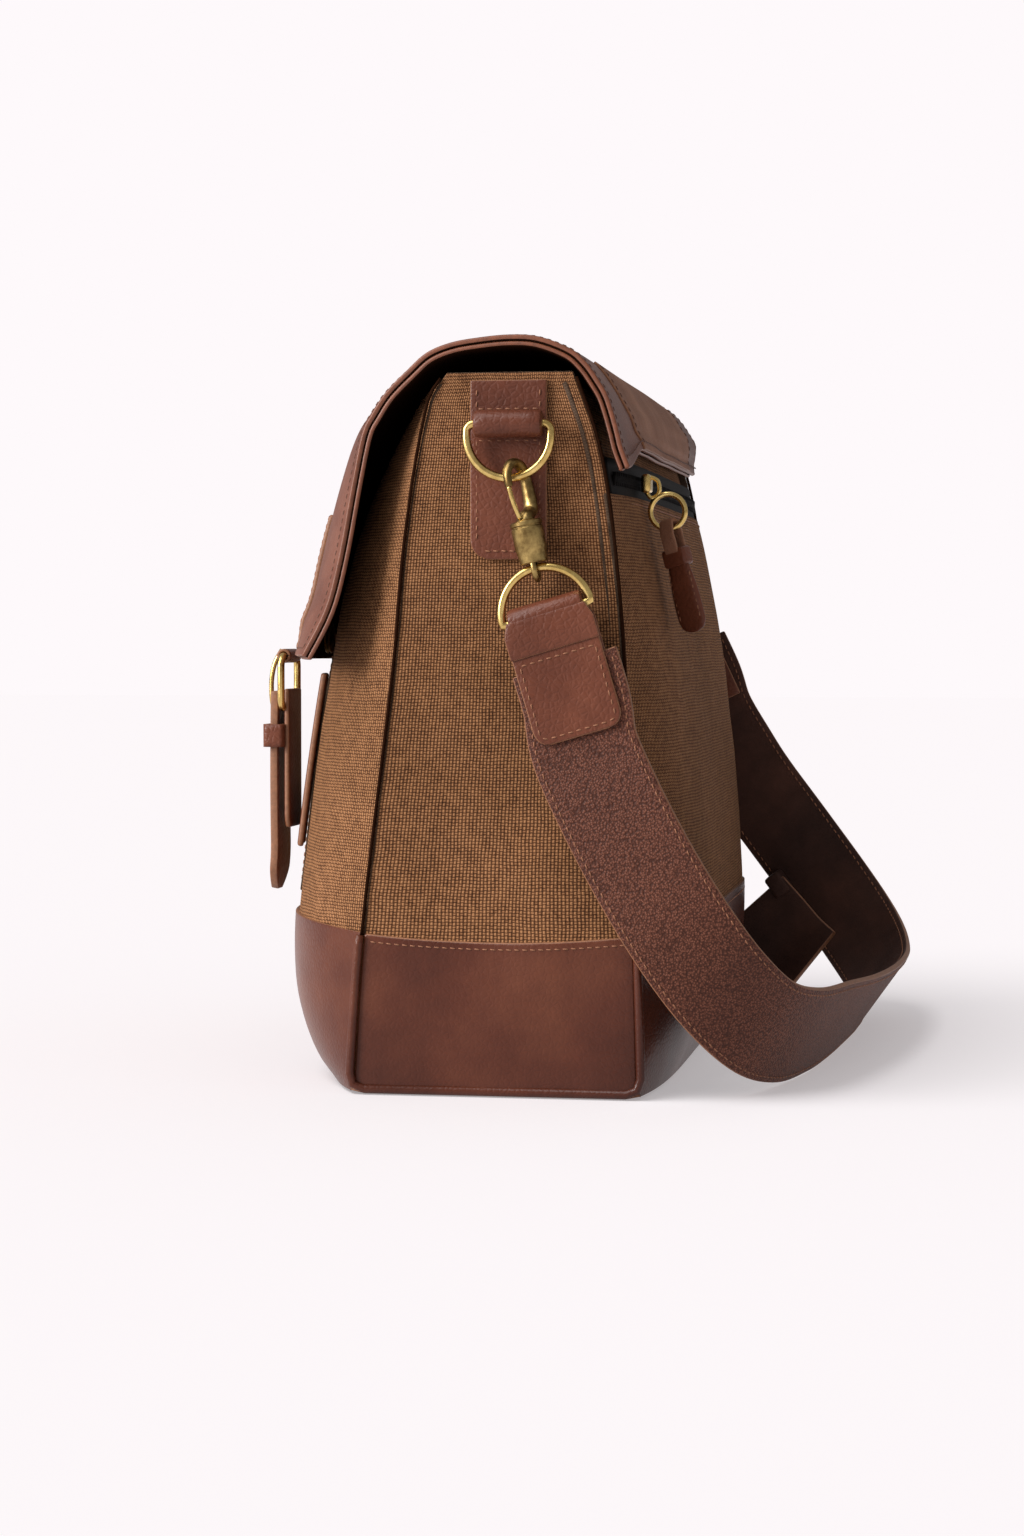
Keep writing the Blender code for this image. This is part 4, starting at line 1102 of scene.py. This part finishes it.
def build_strap_end(word, side):
    """What swings with the strap: swivel eye, lower ring, and the sewn leather that holds the ring."""
    top, down, out, wide = hang_axes(word, side)

    def at(across, distance):
        return top + out * across + down * distance

    eye_line = [at(-0.0042, 0.0535), at(-0.0036, 0.0523), at(0.0, 0.0520), at(0.0036, 0.0523), at(0.0042, 0.0535)]
    eye_line += [at(0.0042 * math.cos(a), 0.0562 + 0.0042 * math.sin(a)) for a in (math.pi * k / 10 for k in range(11))]
    eye = sweep("swivel_eye_wire_" + word, eye_line, 0.0013, [ANTIQUE], closed=True, sides=12, up=tuple(wide))
    settle(eye, "strap", "brass", "swivel_eye_" + word)

    hang, lean = (math.radians(a) for a in HANG[word])
    tilt = (hang + lean) / 2
    ring_centre = at(0.0, 0.0557) + Vector((0.0, math.sin(tilt), -math.cos(tilt))) * STRAP_RING_R
    along_strap = Vector((0.0, math.sin(lean), -math.cos(lean)))
    across = Vector((0.0, math.cos(lean), math.sin(lean)))
    loop = [ring_centre + across * STRAP_RING_R * math.cos(a) - along_strap * STRAP_RING_R * math.sin(a)
            for a in HALF_TURN]
    for t in (0.06, 0.12, 0.3, 0.5, 0.7, 0.88, 0.94):
        bowed = 0.0012 * math.sin(math.pi * t) ** 0.5
        loop.append(ring_centre + across * STRAP_RING_R * (2 * t - 1) + along_strap * bowed)
    wire = sweep("strap_ring_wire_" + word, loop, WIRE + 0.0001, [BRASS], closed=True, sides=18, up=(1, 0, 0))
    settle(wire, "strap", "brass", "strap_ring_" + word)

    # a patch sewn round on the front, a short fold over its top, and a ply behind the strap
    half_width = TAB_WIDTH / 2
    long_d, short_d, corner = 0.0525, 0.0155, 0.0065

    def row(depth, d, w, columns=10):
        """One row across a ply, at depth out from the ring's plane and distance d down the strap."""
        return [ring_centre + out * depth + along_strap * d + across * w * t for t in spread(-1, 1, columns)]

    front_ply = []
    for d in spread(0.0, long_d, 34, 1.2):
        w = half_width - 0.002 + 0.002 * min(1.0, d / 0.006)
        left = long_d - d
        if left < corner:
            w = half_width - corner + math.sqrt(max(0.0, corner ** 2 - (corner - left) ** 2))
        front_ply.append(row(0.0050 - 0.0004 * min(1.0, d / 0.014), d, w))
    cover = [row(0.0054 + 0.0006 * math.sin(math.pi * d / short_d), d,
                 half_width - 0.002 + 0.0023 * min(1.0, d / 0.006)) for d in spread(0.0, short_d, 12)]
    back_ply = [row(0.0022 * min(1.0, d / 0.014) - 0.0050, d, half_width - 0.003 + 0.003 * min(1.0, d / 0.006), 8)
                for d in spread(0.0, 0.0535, 20)]

    def turned_out(rows):
        a, b = rows[0][1] - rows[0][0], rows[1][0] - rows[0][0]
        return rows if a.cross(b).dot(out) > 0 else [list(reversed(r)) for r in rows]

    back = [list(reversed(r)) for r in turned_out(back_ply)]
    tab = join("strap_tab_leather_" + word, [
        sheet("tab_front", turned_out(front_ply), TRIM, 0.0018, bevel=0.45),
        sheet("tab_cover", turned_out(cover), TRIM, 0.0012, bevel=0.45),
        sheet("tab_back", back, TRIM, 0.0022, bevel=0.35)])
    settle(tab, "strap", "leather", "strap_tab_" + word)
    roll = turned("strap_roll_" + word,
                  [(0.0004, 0.0), (0.0038, 0.0), (0.0050, 0.0006), (0.0054, 0.0018), (0.0054, 0.0302),
                   (0.0050, 0.0314), (0.0038, 0.0320), (0.0004, 0.0320)],
                  ring_centre - across * 0.0160, across, [TRIM_LEATHER])
    settle(roll, "strap", "leather", "strap_loop_" + word)

    face, inner = ring_centre + out * 0.0047, half_width - 0.0026
    turn_in, turn_d, turn_r = 0.0036, long_d - 0.0060, 0.0034
    runs = []
    for sign in (-1, 1):
        pts = [face + along_strap * d + across * inner * sign for d in spread(short_d + 0.0030, turn_d, 20)]
        pts += [face + along_strap * (turn_d + turn_r * math.sin(a))
                + across * sign * (inner - turn_in + turn_in * math.cos(a))
                for a in (math.radians(15.0 * k) for k in range(7))]
        runs.append((pts, [out] * len(pts)))
    for d, half in ((short_d + 0.0028, inner), (long_d - 0.0026, inner - turn_in)):
        pts = [face + along_strap * d + across * half * t for t in spread(-1, 1, 12)]
        runs.append((pts, [out] * len(pts)))
    settle(stitches("strap_tab_stitching_" + word, runs), "strap", "leather")
    return [name + word for name in ("strap_tab_leather_", "strap_roll_", "strap_tab_stitching_",
                                     "strap_ring_wire_", "swivel_eye_wire_")]


def build_end(word, side):
    """Everything at one end; returns the names of the pieces that are on the strap."""
    build_ring_patch(word, side)
    build_d_ring(word, side)
    build_hook(word, side)
    return build_strap_end(word, side)


def strap_rows(route, width, per_span=10, columns=10):
    """Rows of points over the strap's outer face, and its centreline."""
    flat = smooth_line([Vector((*p, *w)) for p, w in route], per_span)
    rows, centre = [], []
    for v in flat:
        p, w = Vector(v[:3]), Vector(v[3:]).normalized()
        centre.append(p)
        rows.append((p, w))
    out = []
    for i, (p, w) in enumerate(rows):
        tangent = (rows[min(i + 1, len(rows) - 1)][0] - rows[max(i - 1, 0)][0]).normalized()
        w = (w - tangent * w.dot(tangent)).normalized()
        normal = (-w).cross(tangent)
        out.append([p - w * width / 2 * t + normal * STRAP_THICK / 2 for t in spread(-1, 1, columns)])
    return out, centre


def under_tab(word):
    """Two more points of the strap's route, up under the tab towards the ring."""
    lean = math.radians(HANG[word][1])
    place, across = (STRAP_ROUTE[0] if word == "near" else STRAP_ROUTE[-1])
    up = Vector((0.0, -math.sin(lean), math.cos(lean)))
    return [(tuple(Vector(place) + up * d + Vector(across) * 0.0020), across) for d in (0.036, 0.018)]


def build_strap():
    route = under_tab("near") + STRAP_ROUTE + under_tab("far")[::-1]
    rows, centre = strap_rows(route, STRAP_WIDTH, 8)
    strap = sheet("shoulder_strap_leather", rows, [STRAP_FACE, EDGE_TAN, STRAP_BACK], STRAP_THICK, bevel=0.3)
    settle(strap, "strap", "strap", "shoulder_strap")
    runs = []
    for j in (0, -1):
        for lift in (0.0, -STRAP_THICK):
            pts, nrm = [], []
            for i, row in enumerate(rows[2:-2]):
                a, b = Vector(row[j]), Vector(row[1 if j == 0 else -2])
                across = (b - a).normalized()
                nxt = rows[min(i + 3, len(rows) - 1)][j]
                prev = rows[i + 1][j]
                tangent = (Vector(nxt) - Vector(prev)).normalized()
                normal = (Vector(row[-1]) - Vector(row[0])).cross(tangent).normalized()
                pts.append(a + across * 0.0028 + normal * (lift + (0.0001 if lift == 0 else -0.0001)))
                nrm.append(normal if lift == 0 else -normal)
            runs.append((pts, nrm))
    thread = settle(stitches("strap_stitching", runs), "strap", "strap")
    tail_rows, _ = strap_rows(TAIL_ROUTE, 0.038, 6, 6)
    # both faces of the doubled end, and the block below, take the dark strap back colour: painted shade on its face
    # towards the sun
    tail = sheet("strap_tail_leather", tail_rows, [STRAP_BACK, EDGE_TAN, STRAP_BACK], STRAP_THICK, bevel=0.3)
    # a leather block that joins the doubled end to the strap's far leg
    joint = rounded_box("strap_tail_joint", (0.0255, 0.0085, 0.0120), (-0.1712, 0.0912, 0.0640), 0.0016,
                        [STRAP_BACK], 3, math.radians(36.0))
    tail = join("strap_tail_leather", [tail, joint])
    settle(tail, "strap", "strap", "strap_tail")
    return strap, thread, tail, centre


# ------------------------------------------------------------------ build everything
build_body()
build_ends()
build_flap()
build_zip()
for word, side in (("near", 1), ("far", -1)):
    build_closure(word, side)
with_strap = build_end("near", 1) + build_end("far", -1)
strap, strap_thread, tail, strap_centre = build_strap()


# ------------------------------------------------------------------ studio
DOME = 0.36                # strengths of the world, the sun, the side box and the floor's own glow
SUN = 2.1
SIDE_BOX = 8.0
FLOOR_GLOW = 0.34
PAPER = (0.991, 0.947, 0.965, 1.0)
CAMERA_PLACE = (1.4447, 0.2190, 0.1903)
CAMERA_RIGHT = (-0.1637, 0.9865, 0.0)
CAMERA_FORWARD = (-0.9857, -0.1636, -0.0410)


def build_studio():
    bm = bmesh.new()
    bmesh.ops.create_grid(bm, x_segments=1, y_segments=1, size=9.0)
    paper = Shader("studio_floor")
    paper.set(Base_Color=(0.72, 0.69, 0.70, 1.0), Emission_Color=PAPER, Emission_Strength=FLOOR_GLOW,
              Roughness=0.85, Specular_IOR_Level=0.0)
    floor = made_of("studio_floor", bm, [paper.mat])

    world = bpy.data.worlds.new("studio")
    bpy.context.scene.world = world
    world.use_nodes = True
    tree = world.node_tree
    dome = tree.nodes["Background"]
    dome.inputs["Color"].default_value = (1.0, 0.985, 0.99, 1.0)
    dome.inputs["Strength"].default_value = DOME
    backdrop = tree.nodes.new("ShaderNodeBackground")
    backdrop.inputs["Color"].default_value = PAPER
    seen = tree.nodes.new("ShaderNodeLightPath")
    both = tree.nodes.new("ShaderNodeMixShader")
    tree.links.new(seen.outputs["Is Camera Ray"], both.inputs["Fac"])
    tree.links.new(dome.outputs["Background"], both.inputs[1])
    tree.links.new(backdrop.outputs["Background"], both.inputs[2])
    tree.links.new(both.outputs["Shader"], tree.nodes["World Output"].inputs["Surface"])

    def lamp(name, kind, place, target, power):
        data = bpy.data.lights.new(name, kind)
        data.energy = power
        made = bpy.data.objects.new(name, data)
        made.location = place
        made.rotation_euler = (Vector(target) - Vector(place)).to_track_quat("-Z", "Y").to_euler()
        bpy.context.scene.collection.objects.link(made)
        return data

    key = lamp("key", "SUN", (1.0, -1.2, 2.1), (0.0, 0.0, 0.0), SUN)
    key.angle = math.radians(44.0)
    side = lamp("side_box", "AREA", (1.1, -1.5, 0.75), (0.0, 0.0, 0.15), SIDE_BOX)
    side.shape = "RECTANGLE"
    side.size, side.size_y = 0.7, 1.0
    side.spread = math.radians(70.0)
    # the side box lights the bag only, so that the floor stays even
    floor_only = bpy.data.collections.new("floor_only")
    floor_only.objects.link(floor)
    bpy.data.objects["side_box"].light_linking.receiver_collection = floor_only
    floor_only.collection_objects[0].light_linking.link_state = "EXCLUDE"


def build_camera():
    data = bpy.data.cameras.new("camera")
    data.lens = 73.1
    data.clip_start, data.clip_end = 0.05, 60.0
    camera = bpy.data.objects.new("camera", data)
    right, forward = Vector(CAMERA_RIGHT).normalized(), Vector(CAMERA_FORWARD).normalized()
    up = right.cross(forward).normalized()
    turn = Matrix((right, up, -forward)).transposed().to_4x4()
    camera.matrix_world = Matrix.Translation(CAMERA_PLACE) @ turn
    bpy.context.scene.collection.objects.link(camera)
    bpy.context.scene.camera = camera


build_studio()
build_camera()
bpy.context.scene.view_settings.view_transform = "Standard"
bpy.context.view_layer.update()
